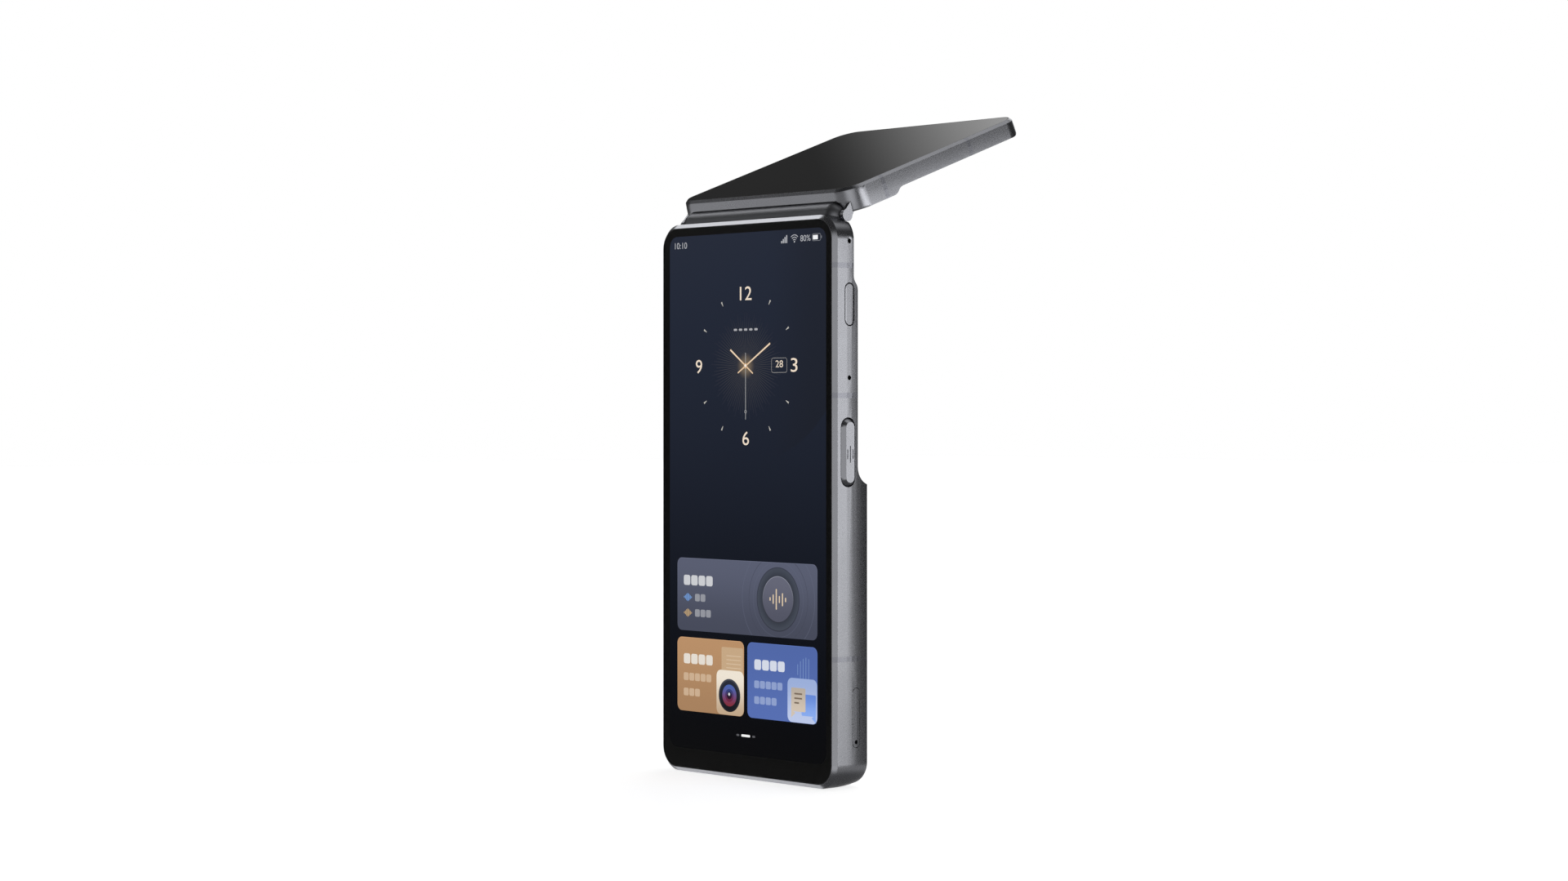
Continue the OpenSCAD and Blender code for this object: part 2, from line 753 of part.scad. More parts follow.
module hinge_spine() {
    color(metal) difference() {
        capsule(spine_r, spine_end);
        both_sides() x_cylinder(sleeve_r, sleeve_x, sleeve_x + sleeve_len, 0, body_h);
        both_sides() x_cylinder(shaft_r + shaft_fit, shaft_end - 0.2, half_w, 0, body_h);
        x_cylinder(0.6, -shaft_end, cable_x + 0.6, 0, body_h);
        cable_drop(0.6);
        spine_screw_shape(screw_r);
    }
}

module spine_screws() {
    color(steel) {
        spine_screw_shape(screw_r);
        both_sides() translate([7, -2, cavity_top - 0.9]) cylinder(r = 1.1, h = 0.9);
    }
}

module friction_sleeves() {
    color(gold) both_sides() difference() {
        x_cylinder(sleeve_r, sleeve_x, sleeve_x + sleeve_len, 0, body_h);
        x_cylinder(shaft_r + shaft_fit, sleeve_x - 1, half_w, 0, body_h);
    }
}

module hinge_cable_body() {
    color(dark) {
        x_cylinder(0.35, -shaft_end + 0.3, cable_x, 0, body_h);
        cable_drop(0.35);
    }
}

module hinge_shafts() {
    color(steel) opened() {
        x_cylinder(shaft_r, shaft_end, arm_x, 0, body_h);
        difference() {
            x_cylinder(shaft_r, -arm_x, -shaft_end, 0, body_h);
            x_cylinder(0.45, -arm_x - 1, -shaft_end + 1, 0, body_h);
        }
    }
}

arm_end = [2.9, body_h - 7.2];

// arm outline: an eye on the axis and a bar that reaches into the flip panel
module arm_outline(grow) {
    translate([0, body_h]) circle(eye_r + grow);
    polygon([[0.9 + grow, body_h + 0.9], [arm_end[0] + 0.9 + grow, arm_end[1] + 3.2],
             [arm_end[0] + 0.9 + grow, arm_end[1] - grow], [arm_end[0] - 1.1 - grow, arm_end[1] - grow],
             [arm_end[0] - 1.1 - grow, arm_end[1] + 3.4], [-0.9 - grow, body_h - 0.9]]);
}

module arm_plate(grow) {
    translate([arm_x - grow, 0, 0]) rotate([90, 0, 90]) linear_extrude(arm_t + 2 * grow) arm_outline(grow);
}

module hinge_arms() {
    color(dark) opened() difference() {
        both_sides() arm_plate(0);
        x_cylinder(0.45, -arm_x - arm_t / 2, 0, 0, body_h);
    }
}

module hinge_cable_flip() {
    color(dark) opened() x_cylinder(0.35, -arm_x - arm_t / 2 + 0.05, -shaft_end, 0, body_h);
}

// ---- flip panel, drawn closed and then opened ----

module flip_outline() {
    along_x(body_w + 2) polygon(concat(
        [[back_y + 1, body_h + 5], [back_y + 1, tip_z]],
        arc_points(tip_round_y, tip_z + tip_round_len, tip_round_y - flip_thin_y, tip_round_len, 270, 180, 8),
        [for (i = [13:-1:0]) s_step(flip_thick_y, step_z, flip_thin_y, mid_z, 6)[i]],
        [[flip_thick_y, body_h + 5]]));
}

module flip_blank() {
    intersection() {
        translate([0, back_y, 0]) mirror([0, 1, 0]) face_on()
            slab(body_w, tip_z, near_z, back_y - flip_thick_y + 1, corner_r, chamfer - flip_lean, 0,
                 flip_lean);
        flip_outline();
    }
}

flip_bands = [body_h - band_top, body_h - band_mid];

module flip_band_boxes() {
    band_boxes(flip_bands, thin_y - 1, back_y + 1);
}

flip_ledge_y = back_y - glass_t - gasket_t;
flip_display_y = back_y - glass_t - display_t;

module flip_cavity() {
    r = corner_r - wall;
    plate(2 * in_w, tip_z + wall, cavity_top, r, flip_display_y - 0.1, flip_ledge_y + eps);
    plate(2 * in_w, tip_z + wall + 1.4, cavity_top, r, flip_thin_y + flip_wall, flip_display_y);
    plate(2 * in_w, step_z + 1.2, cavity_top, 1, flip_thick_y + flip_wall, flip_display_y);
}

module flip_frame() {
    color(metal) opened() difference() {
        flip_blank();
        plate(glass_w + 2 * gasket_w, flip_glass_z0 - gasket_w, flip_glass_z1 + gasket_w,
              glass_r + gasket_w, flip_ledge_y, back_y + 1);
        flip_cavity();
        capsule(spine_r + spine_gap, spine_end + spine_gap);
        both_sides() x_cylinder(shaft_r + 0.2, spine_end - 1.2, arm_x, 0, body_h);
        both_sides() arm_plate(0.05);
        flip_band_boxes();
    }
}

module flip_antenna_bands() {
    color(band_grey) opened() intersection() {
        flip_blank();
        flip_band_boxes();
    }
}

module flip_glass() {
    color(glass_black) opened()
        plate(glass_w, flip_glass_z0, flip_glass_z1, glass_r, back_y - glass_t, back_y);
}

module flip_glass_gasket() {
    color(dark) opened()
        gasket_ring(glass_w, flip_glass_z0, flip_glass_z1, glass_r, back_y, back_y - glass_t, flip_ledge_y);
}

module flip_display() {
    edge = 0.3;
    color([0.08, 0.10, 0.16]) opened()
        plate(glass_w - 2 * (flip_bezel_side - edge), flip_glass_z0 + flip_bezel_far - edge,
              flip_glass_z1 - flip_bezel_near + edge, 2, flip_display_y, back_y - glass_t);
}

flip_board_y = flip_thick_y + flip_wall + 0.15;

module flip_board() {
    color(board_green) opened()
        box(-22, 22, flip_board_y, flip_board_y + pcb_t, step_z + 1.6, cavity_top - 0.6);
}

module flip_camera() {
    color(dark) opened() {
        box(-2.4, 2.4, flip_board_y + pcb_t, back_y - glass_t - 0.5, lens_z - 2.4, lens_z + 2.4);
        y_cylinder(1.2, back_y - glass_t - 0.5, back_y - glass_t, 0, lens_z);
    }
}

module flip_magnets() {
    color(steel) opened() both_sides()
        box(13, 18, flip_thin_y + flip_wall, flip_display_y - 0.15, corner_z + 4.5, corner_z + 9.5);
}

module arm_screws() {
    color(steel) opened() both_sides()
        x_cylinder(0.7, arm_x - 0.35, arm_x, arm_end[0] - 0.1, arm_end[1] + 1.1);
}

body_shell();
body_antenna_bands();
front_glass();
front_glass_gasket();
front_display();
mid_plate();
mid_plate_screws();
main_board();
shield_cans();
board_screws();
battery();
battery_tape();
battery_flex();
main_flex();
lower_board();
usb_port();
usb_tongue();
sim_socket();
sim_tray();
sim_card();
sim_eject_rod();
sim_eject_lever();
speaker();
speaker_mesh();
haptic_motor();
mic_modules();
mic_boots();
switch_bracket();
button_switches();
power_button();
talk_button();
rear_camera();
rear_camera_window();
rear_camera_ring();
flash_lens();
body_magnets();
hinge_spine();
spine_screws();
friction_sleeves();
hinge_cable_body();
hinge_shafts();
hinge_arms();
hinge_cable_flip();
flip_frame();
flip_antenna_bands();
flip_glass();
flip_glass_gasket();
flip_display();
flip_board();
flip_camera();
flip_magnets();
arm_screws();
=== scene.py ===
"""Looks of a dual-screen handheld: satin aluminium body, lit front screen and a flip panel.
"""

import json
import math

import bmesh
import bpy
from bpy.props import FloatProperty, FloatVectorProperty, IntProperty, PointerProperty
from mathutils import Matrix, Vector


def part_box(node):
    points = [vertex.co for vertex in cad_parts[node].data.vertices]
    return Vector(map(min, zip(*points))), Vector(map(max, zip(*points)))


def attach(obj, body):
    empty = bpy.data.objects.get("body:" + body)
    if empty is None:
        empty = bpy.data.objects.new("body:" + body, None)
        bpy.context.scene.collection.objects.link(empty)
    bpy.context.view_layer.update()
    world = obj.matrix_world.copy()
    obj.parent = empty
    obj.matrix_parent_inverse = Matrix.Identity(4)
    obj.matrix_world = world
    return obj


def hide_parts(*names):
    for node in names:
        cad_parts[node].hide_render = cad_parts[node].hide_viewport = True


bl_info = {
    "name": "Dual Screen Handheld",
    "version": (1, 0, 0),
    "blender": (4, 5, 0),
    "location": "3D View > Sidebar > Handheld",
    "description": "Builds the finish, screens and small parts of a hinged dual-screen handheld",
    "category": "Object",
}

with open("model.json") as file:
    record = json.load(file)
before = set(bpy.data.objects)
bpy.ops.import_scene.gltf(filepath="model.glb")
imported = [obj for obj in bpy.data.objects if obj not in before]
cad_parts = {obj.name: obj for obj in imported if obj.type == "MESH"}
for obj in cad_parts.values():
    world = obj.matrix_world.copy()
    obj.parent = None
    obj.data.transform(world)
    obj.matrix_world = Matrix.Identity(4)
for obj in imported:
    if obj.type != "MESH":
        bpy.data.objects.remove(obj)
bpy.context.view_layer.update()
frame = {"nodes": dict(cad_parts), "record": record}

MM = 0.001
BODY = "body"
FLIP = "flip_panel"
SENSOR_Z = 117.65 * MM
PICTURE_DEPTH = 0.25 * MM
LAYER = 0.015 * MM
FLOOR_DROP = 0.02 * MM


# ---------------------------------------------------------------- settings


def length(name, description, default, top=0.5):
    """A length property in metres."""
    return FloatProperty(
        name=name, description=description, default=default, min=0.0, max=top, unit="LENGTH",
        precision=5,
    )


def tint(name, description, default):
    """A colour property with alpha left out."""
    return FloatVectorProperty(
        name=name, description=description, default=default, subtype="COLOR", size=3,
        min=0.0, max=1.0,
    )


class HandheldMetal(bpy.types.PropertyGroup):
    """Finish of the aluminium parts"""

    colour: tint("Aluminium", "Colour of the anodised aluminium", (0.33, 0.335, 0.36))
    band: tint("Antenna band", "Colour of the moulded antenna bands", (0.305, 0.31, 0.345))
    roughness: FloatProperty(
        name="Roughness", description="Roughness of the blasted surface", default=0.27,
        min=0.05, max=1.0, subtype="FACTOR",
    )
    grain: length("Grain", "Size of the blasting grain", 0.12 * MM)
    bevel: length("Edge break", "Width of the broken edges", 0.12 * MM)


class HandheldScreen(bpy.types.PropertyGroup):
    """Picture on the front screen"""

    top: tint("Picture top", "Colour at the top of the picture", (0.0168, 0.0222, 0.0395))
    bottom: tint("Picture bottom", "Colour at the bottom of the picture", (0.0012, 0.0012, 0.0016))
    ink: tint("Numbers", "Colour of the dial numbers", (0.87, 0.74, 0.60))
    hands: tint("Hands", "Colour of the hour and minute hands", (0.80, 0.58, 0.38))
    slate: tint("Voice card", "Colour of the wide card", (0.105, 0.116, 0.172))
    tan: tint("Photo card", "Colour of the left card", (0.50, 0.285, 0.145))
    blue: tint("Chat card", "Colour of the right card", (0.085, 0.142, 0.400))
    dial_height: length("Dial height", "Height of the dial centre above the bottom end", 92.4 * MM)
    dial_radius: length("Dial radius", "Radius of the hour ticks", 16.05 * MM)
    glow: FloatProperty(
        name="Brightness", description="Brightness of the picture", default=1.0, min=0.0, max=5.0,
    )


class HandheldStage(bpy.types.PropertyGroup):
    """Floor and camera"""

    floor: tint("Floor", "Colour of the floor", (0.92, 0.92, 0.92))
    turn: FloatProperty(
        name="Camera turn", description="Direction from which the camera looks",
        default=math.radians(48.37), subtype="ANGLE",
    )
    camera: FloatVectorProperty(
        name="Camera place", description="Where the camera stands",
        default=(0.5268, -0.4622, 0.0811), subtype="TRANSLATION", size=3,
    )
    lens: FloatProperty(
        name="Lens", description="Focal length in millimetres", default=71.68, min=10, max=300,
    )
    shift: FloatProperty(
        name="Shift", description="Vertical shift of the lens", default=-0.01536, min=-0.2,
        max=0.2,
    )


class HandheldSettings(bpy.types.PropertyGroup):
    """All settings of the handheld"""

    metal: PointerProperty(type=HandheldMetal)
    screen: PointerProperty(type=HandheldScreen)
    stage: PointerProperty(type=HandheldStage)


def settings():
    return bpy.context.scene.handheld


# ---------------------------------------------------------------- shader maths


class Wire:
    """A socket that can be used in arithmetic; each operation on it adds a Math node."""

    def __init__(self, tree, socket=None):
        self.tree = tree
        self.socket = socket

    def node(self, kind, setup=None, inputs=None, out=0):
        """Adds a node: its settings first, then the values or links of its sockets."""
        made = self.tree.nodes.new(kind)
        for key, value in (setup or {}).items():
            setattr(made, key, value)
        for key, value in (inputs or {}).items():
            if isinstance(value, Wire):
                self.tree.links.new(value.socket, made.inputs[key])
            else:
                made.inputs[key].default_value = value
        return Wire(self.tree, made.outputs[out])

    def math(self, operation, *values, clamp=False):
        setup = {"operation": operation, "use_clamp": clamp}
        return self.node("ShaderNodeMath", setup, dict(enumerate(values)))

    def of(self, operation):
        """A Math operation on this value alone."""
        return self.math(operation, self)

    def __add__(self, other):
        return self.math("ADD", self, other)

    def __sub__(self, other):
        return self.math("SUBTRACT", self, other)

    def __mul__(self, other):
        return self.math("MULTIPLY", self, other)

    def __rsub__(self, other):
        return self.math("SUBTRACT", other, self)

    __radd__ = __add__
    __rmul__ = __mul__

    def smooth(self, low, high):
        """0 below low, 1 above high, with a smooth step between."""
        setup = {"interpolation_type": "SMOOTHSTEP"}
        inputs = {"Value": self, "From Min": low, "From Max": high}
        return self.node("ShaderNodeMapRange", setup, inputs)

    def mix(self, first, second):
        """Mixes two colours with this value as the factor."""
        setup = {"data_type": "RGBA"}
        inputs = {0: self, 6: as_colour(first), 7: as_colour(second)}
        return self.node("ShaderNodeMix", setup, inputs, out=2)


def as_colour(value):
    if isinstance(value, Wire):
        return value
    return (*value, 1.0) if len(value) == 3 else tuple(value)


def material(name, build):
    """A material with a Principled shader; build gets the tree's wire and the shader node."""
    made = bpy.data.materials.get(name)
    if made:
        return made
    made = bpy.data.materials.new(name)
    made.use_nodes = True
    tree = made.node_tree
    shader = tree.nodes["Principled BSDF"]
    build(Wire(tree), shader)
    return made


def feed(wire, shader, **sockets):
    """Sets or links sockets of the shader; names use _ for blanks."""
    for key, value in sockets.items():
        socket = shader.inputs[key.replace("_", " ")]
        if isinstance(value, Wire):
            wire.tree.links.new(value.socket, socket)
        else:
            socket.default_value = as_colour(value) if isinstance(value, (tuple, list)) else value


def place(wire):
    """Object coordinates of the surface point."""
    return wire.node("ShaderNodeTexCoord", out="Object")


def axes(wire, vector):
    """The X, Y and Z parts of a vector."""
    split = wire.node("ShaderNodeSeparateXYZ", inputs={0: vector})
    outs = split.socket.node.outputs
    return [Wire(wire.tree, outs[i]) for i in range(3)]


def reach(x, z, x_mid, z_mid):
    """Distance of a surface point from the line through (x_mid, z_mid) along Y."""
    return ((x - x_mid) * (x - x_mid) + (z - z_mid) * (z - z_mid)).of("SQRT")


def toward(wire, way, aim):
    """Cosine of the angle between two directions."""
    setup = {"operation": "DOT_PRODUCT"}
    return wire.node("ShaderNodeVectorMath", setup, {0: way, 1: aim}, out="Value")


def noise(wire, vector, scale, detail=2.0, roughness=0.5):
    inputs = {"Vector": vector, "Scale": scale, "Detail": detail, "Roughness": roughness}
    return wire.node("ShaderNodeTexNoise", inputs=inputs)


def bump(wire, height, depth, strength=1.0):
    inputs = {"Height": height, "Distance": depth, "Strength": strength}
    return wire.node("ShaderNodeBump", inputs=inputs)


# ---------------------------------------------------------------- finishes


def blasted_aluminium(name="blasted_aluminium", shade=1.0, extra=0.0):
    """Blasted and anodised metal; shade scales its colour and extra adds to its roughness."""
    look = settings().metal
    colour = tuple(c * shade for c in look.colour)

    def build(wire, shader):
        pos = place(wire)
        grain = noise(wire, pos, 1.0 / look.grain, 3.0, 0.6)
        cloud = noise(wire, pos, 90.0, 2.0)
        tone = grain * 0.65 + cloud * 0.35
        dark = tuple(c * 0.93 for c in colour)
        light = tuple(min(1.0, c * 1.07) for c in colour)
        feed(wire, shader, Base_Color=tone.smooth(0.3, 0.7).mix(dark, light), Metallic=1.0,
             Roughness=grain * 0.12 + (look.roughness - 0.06 + extra),
             Normal=bump(wire, grain, 0.012 * MM, 0.35))

    return material(name, build)


def moulded_band():
    """Moulded plastic with metal flake, tinted to match the metal beside it."""
    colour = tuple(settings().metal.band)

    def build(wire, shader):
        grain = noise(wire, place(wire), 9000.0, 2.0)
        feed(wire, shader, Base_Color=grain.mix(tuple(c * 0.93 for c in colour), colour),
             Roughness=grain * 0.1 + 0.22, Metallic=0.9, Normal=bump(wire, grain, 0.01 * MM, 0.3))

    return material("moulded_band", build)


def brushed_steel():
    """Steel with brush lines that run along Z."""
    colour = (0.56, 0.56, 0.57)

    def build(wire, shader):
        stretch = (6000.0, 6000.0, 200.0)
        pos = wire.node("ShaderNodeMapping", inputs={"Vector": place(wire), "Scale": stretch})
        lines = noise(wire, pos, 1.0, 3.0)
        feed(wire, shader, Metallic=1.0, Roughness=lines * 0.25 + 0.18,
             Base_Color=lines.mix(tuple(c * 0.85 for c in colour), colour),
             Normal=bump(wire, lines, 0.01 * MM, 0.25))

    return material("brushed_steel", build)


def plain(name, colour, rough=0.5, metallic=0.0, grain=4000.0, spread=0.12):
    """A moulded, plated or printed finish with fine grain."""

    def build(wire, shader):
        fine = noise(wire, place(wire), grain, 3.0)
        feed(wire, shader, Metallic=metallic, Roughness=fine * 0.2 + (rough - 0.1),
             Base_Color=fine.mix(tuple(c * (1 - spread) for c in colour), colour),
             Normal=bump(wire, fine, 0.02 * MM, 0.3))

    return material(name, build)


def blend(wire, factor, first, second):
    """Shows the first shader where the factor is 0 and the second where it is 1."""
    both = wire.node("ShaderNodeMixShader", inputs={0: factor, 1: first, 2: second})
    wire.tree.links.new(both.socket, wire.tree.nodes["Material Output"].inputs["Surface"])


def clear_glass():
    """Cover glass over the lit picture: see-through, with the reflection that glass has."""

    def build(wire, shader):
        smudge = noise(wire, place(wire), 120.0, 3.0)
        feed(wire, shader, Base_Color=(1.0, 1.0, 1.0), Metallic=1.0,
             Roughness=smudge.smooth(0.45, 0.75) * 0.05 + 0.02)
        see = wire.node("ShaderNodeBsdfTransparent")
        gloss = wire.node("ShaderNodeFresnel", inputs={"IOR": 1.36})
        blend(wire, gloss, see, Wire(wire.tree, shader.outputs[0]))

    return material("clear_glass", build)


def dark_glass():
    """Glass over the switched-off flip screen: faint print lines and a small light sensor.

    The lines are laid out on the closed panel, so the surface points are turned to where it closes.
    """
    joints = frame["record"]["behaviour"]["joints"]
    hinge = next(joint for joint in joints if joint["name"] == "flip_hinge")
    pivot = Vector(hinge["pos_m"])
    turn = Matrix.Rotation(math.radians(-hinge["range_deg"][0]), 4, "X")
    shift = pivot - turn @ pivot
    low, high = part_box("flip_display")
    edges = [(turn @ Vector(corner) + shift).z for corner in (low, high)]

    def build(wire, shader):
        pos = place(wire)
        smudge = noise(wire, pos, 90.0, 3.0)
        closed = wire.node("ShaderNodeMapping", inputs={
            "Vector": pos, "Location": shift, "Rotation": turn.to_euler()})
        x, _, z = axes(wire, closed)
        shade = smudge.mix((0.0036, 0.0036, 0.0040), (0.0054, 0.0054, 0.0058))
        dots = (x * (math.tau / (0.55 * MM))).of("SINE")
        for line in (min(edges) + 0.4 * MM, max(edges) - 0.4 * MM):
            near = 1.0 - (z - line).of("ABSOLUTE").smooth(0.05 * MM, 0.12 * MM)
            shade = (near * dots.smooth(0.2, 0.6) * 0.5).mix(shade, (0.05, 0.05, 0.055))
        away = reach(x, z, 0.0, SENSOR_Z)
        rim = 1.0 - (away - 0.75 * MM).of("ABSOLUTE").smooth(0.0, 0.08 * MM)
        shade = (rim * 0.5).mix(shade, (0.05, 0.05, 0.06))
        shade = away.smooth(0.28 * MM, 0.40 * MM).mix((0.09, 0.12, 0.22), shade)
        feed(wire, shader, Base_Color=shade, Roughness=smudge.smooth(0.4, 0.8) * 0.02 + 0.03)

    return material("dark_glass", build)


def lit(wire, shader, colour, **others):
    """Feeds a shader that only gives off light, as a lit screen does."""
    feed(wire, shader, Base_Color=(0.0, 0.0, 0.0), Roughness=1.0, Specular_IOR_Level=0.0,
         Emission_Color=colour, Emission_Strength=settings().screen.glow, **others)


def glowing(name, colour, colour_low=None, low=0.0, high=0.0):
    """Lit picture colour, plain or running from colour_low at height low to colour at high."""

    def build(wire, shader):
        shown = as_colour(colour)
        if colour_low:
            height = axes(wire, place(wire))[2]
            shown = height.smooth(low, high).mix(colour_low, colour)
        lit(wire, shader, shown)

    return material(name, build)


# ---------------------------------------------------------------- mesh helpers


def finish(bm, name, finish_with, body, replaces=()):
    """Turns a bmesh into a piece that rides on a body, with its finish."""
    mesh = bpy.data.meshes.new(name)
    bm.to_mesh(mesh)
    bm.free()
    piece = bpy.data.objects.new(name, mesh)
    bpy.context.scene.collection.objects.link(piece)
    mesh.materials.append(finish_with)
    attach(piece, body)
    if replaces:
        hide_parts(*replaces)
    return piece


def merged_copy(node):
    """A bmesh of a CAD node with its doubles merged and its flat faces joined."""
    bm = bmesh.new()
    bm.from_mesh(frame["nodes"][node].data)
    bmesh.ops.remove_doubles(bm, verts=bm.verts, dist=0.002 * MM)
    bmesh.ops.dissolve_limit(bm, angle_limit=math.radians(0.4), verts=bm.verts, edges=bm.edges)
    return bm


def skin(node, finish_with, body=BODY, bevel=None, angle=28.0):
    """The CAD node's shape with broken edges, in place of the node."""
    bm = merged_copy(node)
    piece = finish(bm, node + "_skin", finish_with, body, replaces=(node,))
    add = piece.modifiers.new("edges", "BEVEL")
    add.width = settings().metal.bevel if bevel is None else bevel
    add.segments = 2
    add.limit_method = "ANGLE"
    add.angle_limit = math.radians(angle)
    add.use_clamp_overlap = True
    add.material = -1
    piece.data.shade_smooth()
    even = piece.modifiers.new("normals", "WEIGHTED_NORMAL")
    even.mode = "FACE_AREA"
    even.weight = 50


def dress(node, finish_with):
    """Gives a CAD node that stays as it is its finish."""
    mesh = frame["nodes"][node].data
    mesh.materials.clear()
    mesh.materials.append(finish_with)


def panel(bm, x, z, w, h, r, y, segments=6):
    """A flat rounded rectangle that faces the front."""
    corners = ((-1, -1), (1, -1), (1, 1), (-1, 1))
    verts = [bm.verts.new((x + sx * w / 2, y, z + sz * h / 2)) for sx, sz in corners]
    bm.faces.new(verts)
    r = min(r, w / 2 * 0.999, h / 2 * 0.999)
    bmesh.ops.bevel(bm, geom=verts, offset=r, offset_type="OFFSET", segments=segments,
                    profile=0.5, affect="VERTICES", material=-1)


def upright(x, y, z):
    """Stands a shape of the X-Y plane up, to face the front at a point."""
    return Matrix.Translation((x, y, z)) @ Matrix.Rotation(math.pi / 2, 4, "X")


def disc(bm, x, z, r, y, segments=48):
    """A flat disc that faces the front."""
    bmesh.ops.create_circle(bm, cap_ends=True, segments=segments, radius=r,
                            matrix=upright(x, y, z))


def ring(bm, x, z, r_in, r_out, y, segments=64):
    """A flat ring that faces the front."""
    loops = [bmesh.ops.create_circle(bm, segments=segments, radius=r,
                                     matrix=upright(x, y, z))["verts"] for r in (r_in, r_out)]
    edges = {e for verts in loops for v in verts for e in v.link_edges}
    bmesh.ops.bridge_loops(bm, edges=list(edges))


def frame_line(bm, x, z, w, h, r, line, y):
    """A thin rounded frame, the first thing drawn in its bmesh."""
    panel(bm, x, z, w, h, r, y)
    face = next(iter(bm.faces))
    bm.normal_update()
    bmesh.ops.inset_region(bm, faces=[face], thickness=line, use_boundary=True, use_even_offset=True)
    bmesh.ops.delete(bm, geom=[face], context="FACES")


def bar(bm, a, b, w, y, w_end=None):
    """A straight bar from a to b in the X-Z plane, w wide, or tapering to w_end."""
    a, b = Vector((a[0], y, a[1])), Vector((b[0], y, b[1]))
    side = (b - a).cross(Vector((0, 1, 0))).normalized()
    w_end = w if w_end is None else w_end
    corners = (a - side * w / 2, a + side * w / 2, b + side * w_end / 2, b - side * w_end / 2)
    bm.faces.new([bm.verts.new(c) for c in corners])


def lettering(bm, words, x, z, width, height, y):
    """Numbers set flat in the X-Z plane, centred on x and z, to a width and a height."""
    curve = bpy.data.curves.new("lettering", "FONT")
    curve.body = words
    holder = bpy.data.objects.new("lettering", curve)
    mesh = bpy.data.meshes.new_from_object(holder)
    across = [v.co.x for v in mesh.vertices]
    up = [v.co.y for v in mesh.vertices]
    middle = Vector(((min(across) + max(across)) / 2, (min(up) + max(up)) / 2, 0))
    wide, high = width / (max(across) - min(across)), height / (max(up) - min(up))
    mesh.transform(Matrix.Translation(-middle))
    mesh.transform(Matrix.Diagonal((wide, high, 0, 1)))
    mesh.transform(upright(x, y, z))
    bm.from_mesh(mesh)
    bpy.data.meshes.remove(mesh)
    bpy.data.objects.remove(holder)
    bpy.data.curves.remove(curve)


def polar(x, z, r, angle):
    """A point r from (x, z) at an angle clockwise from 12 o'clock, in degrees."""
    a = math.radians(angle)
    return (x + r * math.sin(a), z + r * math.cos(a))


# ---------------------------------------------------------------- body and flip metal


class HANDHELD_OT_metal(bpy.types.Operator):
    """Aluminium shells, keys, spine and antenna bands with broken edges"""

    bl_idname = "handheld.metal"
    bl_label = "Aluminium parts"

    def execute(self, context):
        alu = blasted_aluminium()
        # The spine's aluminium is darkened to 0.8 of the body's colour as painted shade for the
        # barrel's dark look; its added roughness gives it a satin finish.
        spine_rough_shaded = blasted_aluminium("rough_barrel_painted_shade", 0.8, 0.17)
        skin("body_shell", alu)
        skin("flip_frame", alu, FLIP)
        skin("hinge_spine", spine_rough_shaded, bevel=0.06 * MM)
        skin("power_button", alu, "power_button")
        skin("talk_button", alu, "talk_button", bevel=0.05 * MM, angle=20.0)
        skin("sim_tray", alu, "card_tray", bevel=0.05 * MM)
        for node in ("body_antenna_bands", "flip_antenna_bands"):
            dress(node, moulded_band())
        return {"FINISHED"}


# ---------------------------------------------------------------- glasses


class HANDHELD_OT_glasses(bpy.types.Operator):
    """Cover glasses and their gaskets"""

    bl_idname = "handheld.glasses"
    bl_label = "Glasses"

    def execute(self, context):
        skin("front_glass", clear_glass(), bevel=0.12 * MM)
        skin("flip_glass", dark_glass(), FLIP, bevel=0.12 * MM)
        rubber = plain("gasket_rubber", (0.012, 0.012, 0.012), 0.6)
        dress("front_glass_gasket", rubber)
        dress("flip_glass_gasket", rubber)
        return {"FINISHED"}


# ---------------------------------------------------------------- the picture


def picture_plane(level):
    """Depth of a layer of the picture; a higher level is nearer the viewer."""
    low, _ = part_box("front_glass")
    return low.y + PICTURE_DEPTH - level * LAYER


def show(bm, name, finish_with):
    """Makes a bmesh a piece of the picture."""
    finish(bm, name, finish_with, BODY)


def picture_area():
    """Edges of the lit picture: half width, bottom and top."""
    low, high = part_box("front_display")
    edge = 0.3 * MM
    return high.x - edge, low.z + edge, high.z - edge


class HANDHELD_OT_backdrop(bpy.types.Operator):
    """Black border and the dark blue ground of the picture"""

    bl_idname = "handheld.backdrop"
    bl_label = "Picture ground"

    def execute(self, context):
        look = settings().screen
        half, bottom, top = picture_area()
        low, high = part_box("front_glass")
        bm = bmesh.new()
        panel(bm, 0, (low.z + high.z) / 2, high.x * 2 - 0.02 * MM, high.z - low.z - 0.02 * MM,
              4.3 * MM, picture_plane(0), 10)
        show(bm, "screen_border", plain("screen_print", (0.0042, 0.0042, 0.0045), 0.6))

        def ground(wire, shader):
            x, _, z = axes(wire, place(wire))
            fade = z.smooth(-5 * MM, 118 * MM).mix(tuple(look.bottom), tuple(look.top))
            arc = 1.0 - reach(x, z, 2 * MM, 104 * MM).smooth(32.6 * MM, 32.9 * MM)
            side = x.smooth(6 * MM, 24 * MM)
            shade = (arc * side * 0.38).mix(fade, (0.012, 0.013, 0.017))
            lit(wire, shader, shade)

        bm = bmesh.new()
        panel(bm, 0, (bottom + top) / 2, half * 2, top - bottom, 2.5 * MM, picture_plane(1), 8)
        show(bm, "picture_ground", material("picture_ground", ground))
        return {"FINISHED"}


